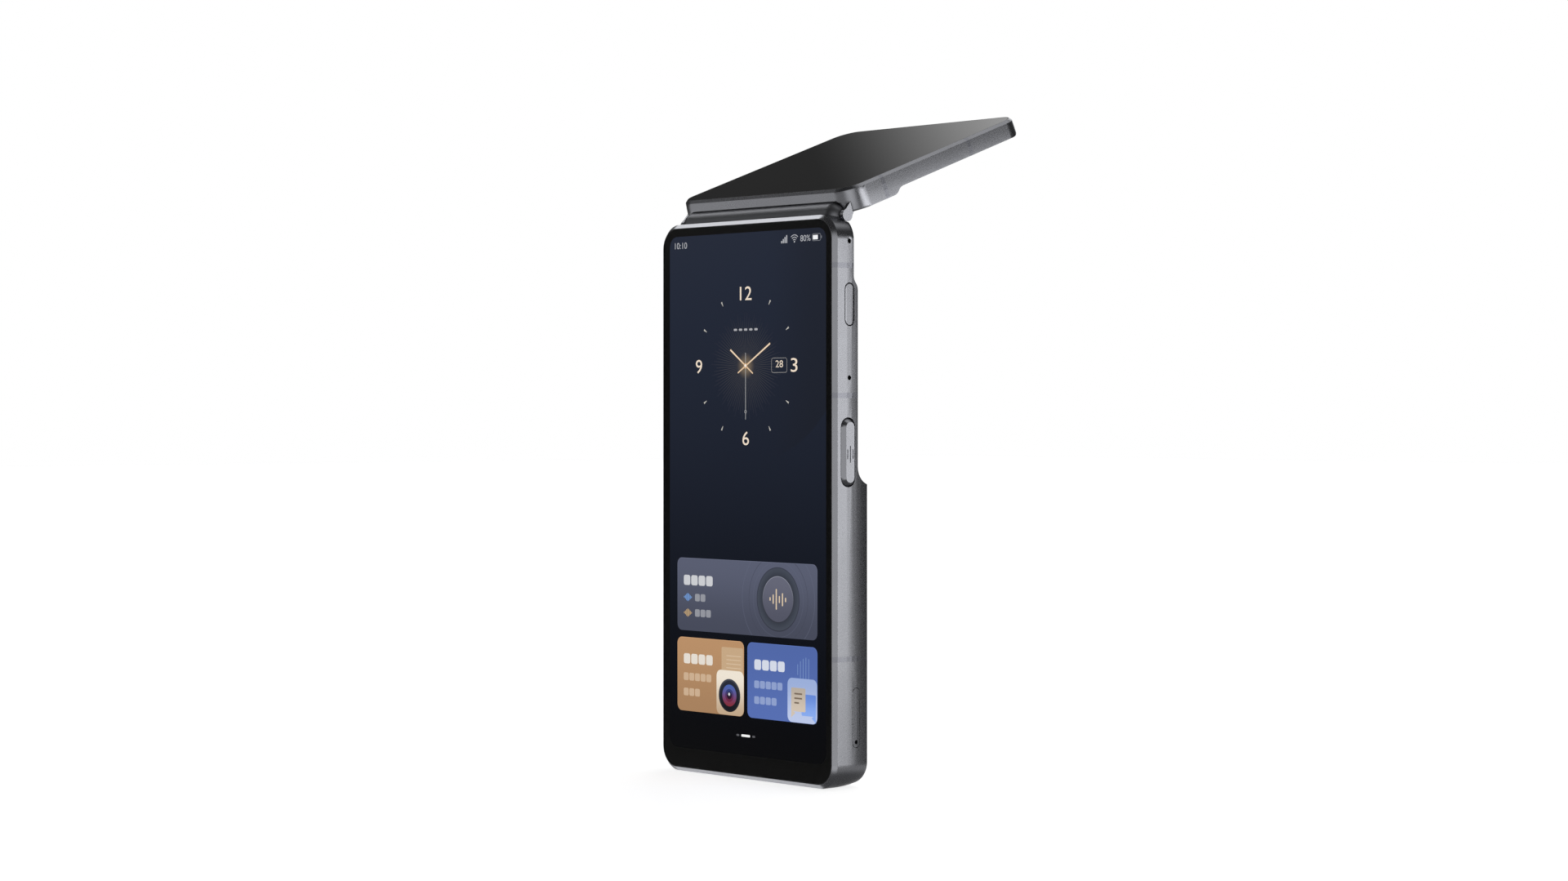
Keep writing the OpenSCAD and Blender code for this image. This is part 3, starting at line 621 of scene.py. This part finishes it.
class HANDHELD_OT_dial(bpy.types.Operator):
    """Clock face: rays, ticks, numbers, date box and hands"""

    bl_idname = "handheld.dial"
    bl_label = "Clock face"

    rays: IntProperty(name="Rays", description="Number of fine rays", default=88, min=12, max=120)

    def execute(self, context):
        look = settings().screen
        cx, cz, radius = 0.0, look.dial_height, look.dial_radius
        ink, hands = tuple(look.ink), tuple(look.hands)

        bm = bmesh.new()
        for i in range(self.rays):
            angle = 360 / self.rays * (i + 0.5)
            tip = (11.9 - i % 3 * 0.9) * MM
            bar(bm, polar(cx, cz, 1.2 * MM, angle), polar(cx, cz, tip, angle), 0.05 * MM,
                picture_plane(2), 0.16 * MM)

        def ray_light(wire, shader):
            x, _, z = axes(wire, place(wire))
            fade = reach(x, z, cx, cz).smooth(4.5 * MM, 12.2 * MM)
            lit(wire, shader, fade.mix((0.062, 0.060, 0.067), (0.021, 0.024, 0.040)))

        show(bm, "dial_rays", material("dial_rays", ray_light))

        def halo_light(wire, shader):
            x, _, z = axes(wire, place(wire))
            fade = reach(x, z, cx, cz).smooth(0.4 * MM, 3.2 * MM)
            lit(wire, shader, (0.36, 0.26, 0.15), Alpha=(1.0 - fade) * 0.5)

        bm = bmesh.new()
        disc(bm, cx, cz, 3.2 * MM, picture_plane(3))
        show(bm, "dial_halo", material("dial_halo", halo_light))

        bm = bmesh.new()
        for hour in range(12):
            if hour % 3:
                a = polar(cx, cz, radius - 0.5 * MM, hour * 30)
                b = polar(cx, cz, radius + 0.6 * MM, hour * 30)
                bar(bm, a, b, 0.10 * MM, picture_plane(2), 0.44 * MM)
        show(bm, "dial_ticks", glowing("dial_ticks", (0.52, 0.50, 0.46)))

        bm = bmesh.new()
        spread = 16.2 * MM
        for words, dx, dz, wide in (("12", 0, 1, 4.0), ("3", 1, 0, 2.2), ("6", 0, -1, 2.2),
                                    ("9", -1, 0, 2.2)):
            lettering(bm, words, cx + dx * spread, cz + dz * spread, wide * MM, 3.06 * MM,
                      picture_plane(2))
        show(bm, "dial_numbers", glowing("dial_ink", ink))

        bm = bmesh.new()
        lettering(bm, "28", cx + 11.3 * MM, cz + 0.3 * MM, 2.45 * MM, 1.55 * MM, picture_plane(2))
        show(bm, "date_number", glowing("dial_ink", ink))
        bm = bmesh.new()
        frame_line(bm, cx + 11.27 * MM, cz, 5.2 * MM, 3.3 * MM, 0.55 * MM, 0.10 * MM,
                   picture_plane(2))
        show(bm, "date_frame", glowing("date_frame", (0.35, 0.34, 0.33)))

        bm = bmesh.new()
        for angle, tip, tail in ((59.4, 9.6 * MM, 3.1 * MM), (-55, 6.4 * MM, 3.0 * MM)):
            bar(bm, polar(cx, cz, tail, angle + 180), polar(cx, cz, tip, angle), 0.30 * MM,
                picture_plane(4), 0.42 * MM)
        show(bm, "clock_hands", glowing("clock_hands", hands))
        bm = bmesh.new()
        for angle, tip in ((59.4, 9.5 * MM), (-55, 6.3 * MM)):
            bar(bm, polar(cx, cz, 1.6 * MM, angle), polar(cx, cz, tip, angle), 0.08 * MM,
                picture_plane(5), 0.16 * MM)
        show(bm, "hand_shine", glowing("hand_shine", (0.93, 0.80, 0.63)))

        bm = bmesh.new()
        ring_at = polar(cx, cz, 10.24 * MM, 180)
        bar(bm, polar(cx, cz, 2.9 * MM, 0), polar(cx, cz, 9.95 * MM, 180), 0.14 * MM,
            picture_plane(6))
        bar(bm, polar(cx, cz, 10.53 * MM, 180), polar(cx, cz, 12.0 * MM, 180), 0.14 * MM,
            picture_plane(6))
        ring(bm, ring_at[0], ring_at[1], 0.22 * MM, 0.34 * MM, picture_plane(6), 24)
        show(bm, "second_hand", glowing("second_hand", (0.50, 0.50, 0.50)))

        bm = bmesh.new()
        disc(bm, cx, cz, 0.62 * MM, picture_plane(7), 32)
        show(bm, "dial_hub", glowing("dial_hub", (0.62, 0.40, 0.22)))
        bm = bmesh.new()
        disc(bm, cx, cz + 0.05 * MM, 0.34 * MM, picture_plane(8), 24)
        show(bm, "dial_pin", glowing("dial_pin", (0.95, 0.88, 0.80)))

        bm = bmesh.new()
        for i in range(-2, 3):
            panel(bm, cx + i * 1.75 * MM, cz + 8.1 * MM, 1.15 * MM, 0.5 * MM, 0.25 * MM,
                  picture_plane(3), 4)
        show(bm, "dial_marks", glowing("dial_marks", (0.42, 0.42, 0.44)))
        return {"FINISHED"}


class HANDHELD_OT_status(bpy.types.Operator):
    """Status row: time, signal bars, radio fan, charge number and battery sign"""

    bl_idname = "handheld.status"
    bl_label = "Status row"

    def execute(self, context):
        _, _, top = picture_area()
        z, y = top - 2.1 * MM, picture_plane(2)
        bm = bmesh.new()
        lettering(bm, "10:10", -22.6 * MM, z, 4.3 * MM, 1.43 * MM, y)
        lettering(bm, "80%", 19.9 * MM, z, 3.3 * MM, 1.35 * MM, y)
        for i in range(4):
            high = (0.55 + 0.4 * i) * MM
            panel(bm, (12.1 + 0.55 * i) * MM, z - 0.85 * MM + high / 2, 0.36 * MM, high,
                  0.1 * MM, y, 3)
        for r in (0.6, 1.1, 1.6):
            self.fan(bm, 16.3 * MM, z - 0.75 * MM, r * MM, y)
        disc(bm, 16.3 * MM, z - 0.65 * MM, 0.2 * MM, y, 16)
        show(bm, "status_row", glowing("status_grey", (0.46, 0.47, 0.50)))
        bm = bmesh.new()
        frame_line(bm, 23.5 * MM, z + 0.05 * MM, 2.8 * MM, 1.6 * MM, 0.4 * MM, 0.1 * MM, y)
        panel(bm, 25.1 * MM, z + 0.05 * MM, 0.2 * MM, 0.6 * MM, 0.08 * MM, y, 3)
        show(bm, "battery_case", glowing("battery_case", (0.24, 0.25, 0.28)))
        bm = bmesh.new()
        panel(bm, 23.15 * MM, z + 0.05 * MM, 1.6 * MM, 0.95 * MM, 0.12 * MM, y, 3)
        show(bm, "battery_level", glowing("battery_level", (0.92, 0.93, 0.95)))
        return {"FINISHED"}

    @staticmethod
    def fan(bm, x, z, r, y):
        """An arc of a radio sign."""
        spread, steps = 45, 10
        for i in range(steps):
            a = -spread + 2 * spread * i / steps
            b = -spread + 2 * spread * (i + 1) / steps
            bar(bm, polar(x, z, r, a), polar(x, z, r, b), 0.17 * MM, y)


def card_frame(name, x0, x1, z0, z1, low, high):
    """A card of the picture with a faint light edge, darker at low and lighter at high."""
    bm = bmesh.new()
    x, z, w, h = (x0 + x1) / 2, (z0 + z1) / 2, x1 - x0, z1 - z0
    panel(bm, x, z, w, h, 1.5 * MM, picture_plane(2), 8)
    show(bm, name, glowing(name, high, low, z0, z1))
    bm = bmesh.new()
    frame_line(bm, x, z, w, h, 1.5 * MM, 0.10 * MM, picture_plane(3))
    edge = tuple(min(1.0, c * 1.35 + 0.01) for c in high)
    show(bm, name + "_edge", glowing(name + "_edge", edge, low, z0, z1))


def text_blocks(name, x, z, lines, colour):
    """Blank blocks that stand for text: each line is (drop, blocks, block size)."""
    bm = bmesh.new()
    for drop, count, size in lines:
        for i in range(count):
            panel(bm, x + (i + 0.5) * size * 1.14, z - drop, size, size, size * 0.22,
                  picture_plane(4), 3)
    show(bm, name, glowing(name, colour))


def wave_bars(name, x, z, heights, pitch, width, colour, level=4):
    """A row of upright bars of different heights, as a voice sign."""
    bm = bmesh.new()
    for i, high in enumerate(heights):
        panel(bm, x + (i - (len(heights) - 1) / 2) * pitch, z, width, high, width / 2,
              picture_plane(level), 3)
    show(bm, name, glowing(name, colour))


class HANDHELD_OT_voice_card(bpy.types.Operator):
    """Wide card with the voice button"""

    bl_idname = "handheld.voice_card"
    bl_label = "Voice card"

    def execute(self, context):
        slate = tuple(settings().screen.slate)
        z0, z1 = 32.3 * MM, 48.85 * MM
        half = 23.8 * MM
        low = tuple(c * 0.62 for c in slate)
        card_frame("voice_card", -half, half, z0, z1, low, slate)
        cx, cz = 10.9 * MM, 40.7 * MM
        levels = (("voice_ring_far", 12.15, 12.0, 3, 1.14), ("voice_ring_outer", 9.88, 9.72, 3, 0.72),
                  ("voice_ring_mid", 8.4, 8.3, 3, 1.12), ("voice_ring_inner", 7.12, 6.9, 4, 0.45))
        for name, r_out, r_in, level, gain in levels:
            bm = bmesh.new()
            ring(bm, cx, cz, r_in * MM, r_out * MM, picture_plane(level))
            sides = (((0, 0, z0 + 0.1 * MM), (0, 0, -1)), ((0, 0, z1 - 0.1 * MM), (0, 0, 1)),
                     ((half - 0.1 * MM, 0, 0), (1, 0, 0)))
            for edge, normal in sides:
                geom = bm.verts[:] + bm.edges[:] + bm.faces[:]
                bmesh.ops.bisect_plane(bm, geom=geom, plane_co=edge, plane_no=normal,
                                       clear_outer=True)
            tone = tuple(c * gain for c in slate)
            show(bm, name, glowing(name, tone, tuple(c * 0.8 for c in tone), z0, z1))

        def well(wire, shader):
            x, _, z = axes(wire, place(wire))
            fade = reach(x, z, cx, cz).smooth(4.6 * MM, 7.0 * MM)
            lit(wire, shader, fade.mix((0.036, 0.042, 0.058), (0.060, 0.070, 0.095)))

        bm = bmesh.new()
        disc(bm, cx, cz, 6.95 * MM, picture_plane(3), 64)
        show(bm, "voice_well", material("voice_well", well))
        bm = bmesh.new()
        disc(bm, cx, cz, 5.1 * MM, picture_plane(5), 64)
        show(bm, "voice_key", glowing("voice_key", (0.135, 0.140, 0.190), (0.088, 0.092, 0.130),
                                      cz - 5 * MM, cz + 5 * MM))
        bm = bmesh.new()
        ring(bm, cx, cz, 5.0 * MM, 5.12 * MM, picture_plane(6))
        show(bm, "voice_key_rim", glowing("voice_key_rim", (0.30, 0.31, 0.38),
                                          (0.035, 0.036, 0.05), cz - 4 * MM, cz + 5 * MM))
        heights = [h * MM for h in (0.8, 2.1, 4.6, 1.6, 2.9, 1.0)]
        wave_bars("voice_sign", cx, cz, heights, 1.03 * MM, 0.36 * MM, (0.78, 0.62, 0.43), 7)
        text_blocks("voice_title", -21.7 * MM, 43.8 * MM, ((0, 4, 2.3 * MM),), (0.62, 0.63, 0.66))
        text_blocks("voice_lines", -17.7 * MM, 39.9 * MM,
                    ((0, 2, 1.7 * MM), (3.5 * MM, 3, 1.7 * MM)), (0.30, 0.31, 0.35))
        small = [h * MM for h in (0.4, 0.9, 1.5, 1.9, 1.5, 0.9, 0.4)]
        for name, z, colour in (("voice_blue", 39.9, (0.17, 0.33, 0.68)),
                                ("voice_gold", 36.35, (0.52, 0.36, 0.19))):
            wave_bars(name, -20.1 * MM, z * MM, small, 0.42 * MM, 0.3 * MM, colour)
        return {"FINISHED"}


class HANDHELD_OT_photo_card(bpy.types.Operator):
    """Left card with the picture of a lens"""

    bl_idname = "handheld.photo_card"
    bl_label = "Photo card"

    def execute(self, context):
        tan = tuple(settings().screen.tan)
        z0, z1 = 13.95 * MM, 30.75 * MM
        x0, x1 = -23.8 * MM, -0.6 * MM
        card_frame("photo_card", x0, x1, z0, z1, tuple(c * 0.80 for c in tan), tan)
        text_blocks("photo_title", -21.7 * MM, 25.9 * MM, ((0, 4, 2.3 * MM),), (0.80, 0.74, 0.66))
        text_blocks("photo_lines", -21.7 * MM, 21.8 * MM,
                    ((0, 5, 1.75 * MM), (3.5 * MM, 3, 1.75 * MM)), (0.62, 0.44, 0.29))
        bm = bmesh.new()
        panel(bm, -4.6 * MM, 26.2 * MM, 7.4 * MM, 6.0 * MM, 0.3 * MM, picture_plane(3), 2)
        show(bm, "photo_sheet", glowing("photo_sheet", (0.58, 0.40, 0.24)))
        bm = bmesh.new()
        for i in range(4):
            panel(bm, -4.1 * MM, (27.3 - i * 0.9) * MM, 5.0 * MM, 0.16 * MM, 0.05 * MM,
                  picture_plane(4), 2)
        show(bm, "photo_sheet_lines", glowing("photo_sheet_lines", (0.72, 0.55, 0.38)))
        cx, cz = -5.5 * MM, 18.4 * MM
        bm = bmesh.new()
        panel(bm, -5.32 * MM, 19.0 * MM, 9.36 * MM, 10.0 * MM, 1.4 * MM, picture_plane(5), 6)
        show(bm, "lens_tile", glowing("lens_tile", (0.88, 0.80, 0.68), (0.55, 0.40, 0.26),
                                      cz - 4.5 * MM, cz + 4.5 * MM))
        parts = (("lens_rim", 3.72, (0.055, 0.060, 0.080), (0.012, 0.013, 0.018)),
                 ("lens_body", 3.3, (0.022, 0.026, 0.042), (0.010, 0.010, 0.014)),
                 ("lens_coat", 2.45, (0.070, 0.130, 0.420), (0.230, 0.030, 0.045)),
                 ("lens_deep", 1.45, (0.030, 0.055, 0.200), (0.160, 0.020, 0.050)),
                 ("lens_iris", 0.85, (0.008, 0.012, 0.040), (0.030, 0.008, 0.020)))
        for level, (name, r, high, low) in enumerate(parts):
            bm = bmesh.new()
            disc(bm, cx, cz, r * MM, picture_plane(6 + level), 48)
            show(bm, name, glowing(name, high, low, cz - r * MM, cz + r * MM))
        bm = bmesh.new()
        disc(bm, cx, cz + 0.3 * MM, 0.34 * MM, picture_plane(12), 20)
        show(bm, "lens_glint", glowing("lens_glint", (0.70, 0.72, 0.78)))
        return {"FINISHED"}


class HANDHELD_OT_chat_card(bpy.types.Operator):
    """Right card with two blank speech bubbles"""

    bl_idname = "handheld.chat_card"
    bl_label = "Chat card"

    def execute(self, context):
        blue = tuple(settings().screen.blue)
        z0, z1 = 13.95 * MM, 30.75 * MM
        x0, x1 = 0.6 * MM, 23.8 * MM
        card_frame("chat_card", x0, x1, z0, z1, tuple(c * 1.15 for c in blue), blue)
        text_blocks("chat_title", 2.8 * MM, 25.9 * MM, ((0, 4, 2.3 * MM),), (0.68, 0.72, 0.82))
        text_blocks("chat_lines", 2.8 * MM, 21.5 * MM,
                    ((0, 5, 1.7 * MM), (3.5 * MM, 4, 1.7 * MM)), (0.28, 0.36, 0.62))
        bm = bmesh.new()
        for i, high in enumerate((2.4, 3.8, 5.0, 5.6, 5.0)):
            panel(bm, (17.4 + 0.9 * i) * MM, 25.6 * MM, 0.2 * MM, high * MM, 0.1 * MM,
                  picture_plane(3), 2)
        show(bm, "chat_wave", glowing("chat_wave", (0.19, 0.29, 0.56)))
        cx, cz = 18.92 * MM, 18.84 * MM
        bm = bmesh.new()
        panel(bm, cx, cz, 9.7 * MM, 9.7 * MM, 1.4 * MM, picture_plane(4), 6)
        show(bm, "chat_tile", glowing("chat_tile", (0.34, 0.44, 0.72), (0.52, 0.60, 0.84),
                                      cz - 4.5 * MM, cz + 4.5 * MM))
        for name, x, z, w, h, level, colour, low, side in (
                ("bubble_back", 21.05, 17.95, 4.7, 4.7, 5, (0.14, 0.26, 0.70), (0.26, 0.42, 0.88), 1),
                ("bubble_front", 17.65, 19.0, 4.7, 5.2, 6, (0.50, 0.43, 0.36),
                 (0.66, 0.56, 0.46), -1)):
            bm = bmesh.new()
            panel(bm, x * MM, z * MM, w * MM, h * MM, 0.3 * MM, picture_plane(level), 3)
            foot, y = (z - h / 2) * MM, picture_plane(level)
            edge = (x + side * w / 2) * MM
            inner = edge - side * 1.5 * MM
            bar(bm, ((edge + inner) / 2, foot), (edge, foot - 1.4 * MM), 1.5 * MM, y, 0.05 * MM)
            show(bm, name, glowing(name, colour, low, (z - h / 2) * MM, (z + h / 2) * MM))
        bm = bmesh.new()
        for i, run in enumerate((2.6, 2.6, 1.6)):
            panel(bm, (16.35 + run / 2) * MM, (20.3 - i * 1.0) * MM, run * MM, 0.36 * MM,
                  0.15 * MM, picture_plane(8), 3)
        show(bm, "bubble_lines", glowing("bubble_lines", (0.20, 0.15, 0.11)))
        return {"FINISHED"}


class HANDHELD_OT_page_dots(bpy.types.Operator):
    """Page marks under the cards"""

    bl_idname = "handheld.page_dots"
    bl_label = "Page marks"

    def execute(self, context):
        z, y = 9.75 * MM, picture_plane(2)
        bm = bmesh.new()
        panel(bm, 0, z, 3.0 * MM, 0.52 * MM, 0.26 * MM, y, 5)
        show(bm, "page_now", glowing("page_now", (0.92, 0.92, 0.92)))
        bm = bmesh.new()
        for side in (-1, 1):
            panel(bm, side * 2.7 * MM, z, 1.0 * MM, 0.46 * MM, 0.23 * MM, y, 5)
        show(bm, "page_others", glowing("page_others", (0.10, 0.10, 0.11)))
        return {"FINISHED"}


# ---------------------------------------------------------------- inside


class HANDHELD_OT_inside(bpy.types.Operator):
    """Finishes of the boards, battery, hinge and the other hidden parts"""

    bl_idname = "handheld.inside"
    bl_label = "Inside"

    def execute(self, context):
        steel = brushed_steel()
        board = plain("solder_mask", (0.012, 0.075, 0.040), 0.35, grain=1200.0, spread=0.5)
        black = plain("black_plastic", (0.015, 0.015, 0.017), 0.5)
        gold = plain("gold_plating", (0.72, 0.50, 0.20), 0.3, 1.0)
        bronze = plain("sintered_bronze", (0.45, 0.28, 0.13), 0.45, 1.0, grain=7000.0)
        film = plain("polyimide_film", (0.42, 0.20, 0.04), 0.25)
        nickel = plain("nickel_plating", (0.62, 0.60, 0.57), 0.22, 1.0)
        finishes = {
            "front_display": plain("panel_back", (0.02, 0.02, 0.03), 0.4),
            "flip_display": plain("panel_back", (0.02, 0.02, 0.03), 0.4),
            "mid_plate": steel, "mid_plate_screws": steel, "board_screws": steel,
            "usb_port": steel, "sim_socket": steel, "sim_eject_rod": steel,
            "sim_eject_lever": steel, "speaker_mesh": steel, "switch_bracket": steel,
            "spine_screws": steel, "hinge_shafts": steel, "arm_screws": steel,
            "rear_camera_ring": steel, "shield_cans": nickel, "haptic_motor": nickel,
            "body_magnets": nickel, "flip_magnets": nickel,
            "main_board": board, "lower_board": board, "flip_board": board,
            "battery": plain("battery_wrap", (0.03, 0.032, 0.036), 0.45),
            "battery_tape": plain("white_tape", (0.62, 0.62, 0.56), 0.6),
            "battery_flex": film, "main_flex": film,
            "usb_tongue": black, "speaker": black, "button_switches": black,
            "rear_camera": black, "flip_camera": black,
            "sim_card": gold, "mic_modules": gold,
            "mic_boots": plain("boot_rubber", (0.02, 0.02, 0.02), 0.7),
            "rear_camera_window": plain("lens_glass", (0.006, 0.008, 0.014), 0.12),
            "flash_lens": plain("flash_lens", (0.80, 0.74, 0.52), 0.3),
            "friction_sleeves": bronze, "hinge_arms": blasted_aluminium(),
            "hinge_cable_body": black, "hinge_cable_flip": black,
        }
        for node, look in finishes.items():
            dress(node, look)
        return {"FINISHED"}


# ---------------------------------------------------------------- stage


def lobe(wire, way, aim, spread, strength, core):
    """A soft round patch of light: spread is its radius in degrees, core the evenly lit share."""
    near, far = math.cos(math.radians(spread * core)), math.cos(math.radians(spread))
    return toward(wire, way, Vector(aim).normalized()).smooth(far, near) * strength


def strip(wire, way, heading, width, height, strength):
    """A soft strip of light round a heading; width and height are (full, gone) in degrees."""
    x, y, z = axes(wire, way)
    turn = wire.math("ARCTAN2", y, x) - math.radians(heading)
    level = z.of("ARCSINE") - math.radians(0.5)
    light = 1.0
    for angle, (full, gone) in ((turn, width), (level, height)):
        fade = angle.of("ABSOLUTE").smooth(math.radians(full), math.radians(gone))
        light = (1.0 - fade) * light
    return light * strength


# Side strip: heading, its half width and half height as (full, gone), all in degrees; brightness.
STRIP = (22, (18.5, 28.5), (4.5, 9.5), 2.65)
# Patches: direction, radius in degrees, brightness and the evenly lit share of the radius.
PATCHES = (
    ((-0.74, 0.05, 0.67), 11, 2.6, 0.4),      # highlight on the front edge of the top
    ((-0.3, 0.66, 0.69), 25, 0.35, 0.5),      # top corners
    ((-0.75, -0.42, 0.51), 13, 0.15, 0.4),    # near chamfer of the flip panel
    ((0.664, -0.748, -0.02), 34, 0.72, 0.3),  # right front chamfer
    ((-0.75, -0.49, -0.45), 24, 0.36, 0.3),   # near side of the flip panel
    ((0.22, 0.33, 0.92), 34, 0.7, 0.4),       # right chamfer of the flip panel
    ((-0.75, 0.02, -0.66), 14, 1.4, 0.3),     # front edge of the bottom
    ((-0.75, -0.6, 0.28), 15, 0.45, 0.3),     # hinge spine
)


class HANDHELD_OT_stage(bpy.types.Operator):
    """Pale floor, studio light and camera"""

    bl_idname = "handheld.stage"
    bl_label = "Stage"

    def execute(self, context):
        self.floor()
        self.world()
        self.camera()
        bpy.context.scene.view_settings.view_transform = "Standard"
        return {"FINISHED"}

    def floor(self):
        bm = bmesh.new()
        bmesh.ops.create_grid(bm, x_segments=2, y_segments=2, size=4.0)
        mesh = bpy.data.meshes.new("floor")
        bm.to_mesh(mesh)
        bm.free()
        piece = bpy.data.objects.new("floor", mesh)
        piece.location.z = -FLOOR_DROP
        look = tuple(settings().stage.floor)
        bpy.context.scene.collection.objects.link(piece)

        def pale(wire, shader):
            seen = wire.node("ShaderNodeLightPath", out="Is Camera Ray")
            feed(wire, shader, Roughness=0.9, Specular_IOR_Level=0.1, Base_Color=look,
                 Emission_Color=(1.0, 1.0, 1.0), Emission_Strength=seen * 0.80)
            mirrored = wire.node("ShaderNodeLightPath", out="Is Glossy Ray")
            clear = wire.node("ShaderNodeBsdfTransparent")
            blend(wire, mirrored, Wire(wire.tree, shader.outputs[0]), clear)

        mesh.materials.append(material("pale_floor", pale))

    def world(self):
        world = bpy.data.worlds.new("studio")
        world.use_nodes = True
        tree = world.node_tree
        back = tree.nodes["Background"]
        wire = Wire(tree)
        way = wire.node("ShaderNodeTexCoord", out="Generated")
        level = strip(wire, way, *STRIP)
        for patch in PATCHES:
            level = level + lobe(wire, way, *patch)
        level = level + self.wall(wire, way) + self.ground(wire, way) + 0.05
        seen = wire.node("ShaderNodeLightPath", out="Is Camera Ray")
        shown = seen + (1.0 - seen) * level
        tree.links.new(shown.socket, back.inputs["Strength"])
        back.inputs["Color"].default_value = (1.0, 1.0, 1.0, 1.0)
        bpy.context.scene.world = world

    @staticmethod
    def ground(wire, way):
        """A low pale wall all round, just below the level, with a darker ground."""
        fall = toward(wire, way, (0.0, 0.0, -1.0))
        return fall.smooth(0.1, 0.25) * (0.34 - fall.smooth(0.35, 0.6) * 0.26)

    @staticmethod
    def wall(wire, way):
        """A lit wall behind, whose near edge fades out across the flip glass."""
        across = toward(wire, way, (0.65, 0.75, 0.13)).smooth(-0.01, 0.085)
        return lobe(wire, way, (-0.69, 0.61, 0.39), 32, 0.9, 0.6) * across

    def camera(self):
        look = settings().stage
        data = bpy.data.cameras.new("camera")
        data.lens = look.lens
        data.sensor_width = 36.0
        data.shift_y = look.shift
        data.clip_start = 0.01
        data.clip_end = 20.0
        camera = bpy.data.objects.new("camera", data)
        camera.location = look.camera
        camera.rotation_euler = (math.radians(90), 0.0, look.turn)
        bpy.context.scene.collection.objects.link(camera)
        bpy.context.scene.camera = camera


# ---------------------------------------------------------------- add-on


class HANDHELD_PT_panel(bpy.types.Panel):
    """Lists the parts of the handheld"""

    bl_idname = "HANDHELD_PT_panel"
    bl_label = "Dual Screen Handheld"
    bl_space_type = "VIEW_3D"
    bl_region_type = "UI"
    bl_category = "Handheld"

    def draw(self, context):
        look = context.scene.handheld
        for group in (look.metal, look.screen, look.stage):
            box = self.layout.box()
            for key in group.__annotations__:
                box.prop(group, key)
        for operator in OPERATORS:
            self.layout.operator(operator.bl_idname)


GROUPS = (HandheldMetal, HandheldScreen, HandheldStage, HandheldSettings)
OPERATORS = (
    HANDHELD_OT_stage,
    HANDHELD_OT_metal,
    HANDHELD_OT_glasses,
    HANDHELD_OT_backdrop,
    HANDHELD_OT_dial,
    HANDHELD_OT_status,
    HANDHELD_OT_voice_card,
    HANDHELD_OT_photo_card,
    HANDHELD_OT_chat_card,
    HANDHELD_OT_page_dots,
    HANDHELD_OT_inside,
)


def register():
    for item in (*GROUPS, *OPERATORS, HANDHELD_PT_panel):
        bpy.utils.register_class(item)
    bpy.types.Scene.handheld = PointerProperty(type=HandheldSettings)


def unregister():
    del bpy.types.Scene.handheld
    for item in reversed((*GROUPS, *OPERATORS, HANDHELD_PT_panel)):
        bpy.utils.unregister_class(item)


def main():
    register()
    for operator in OPERATORS:
        group, name = operator.bl_idname.split(".")
        getattr(getattr(bpy.ops, group), name)()


if __name__ == "__main__":
    main()
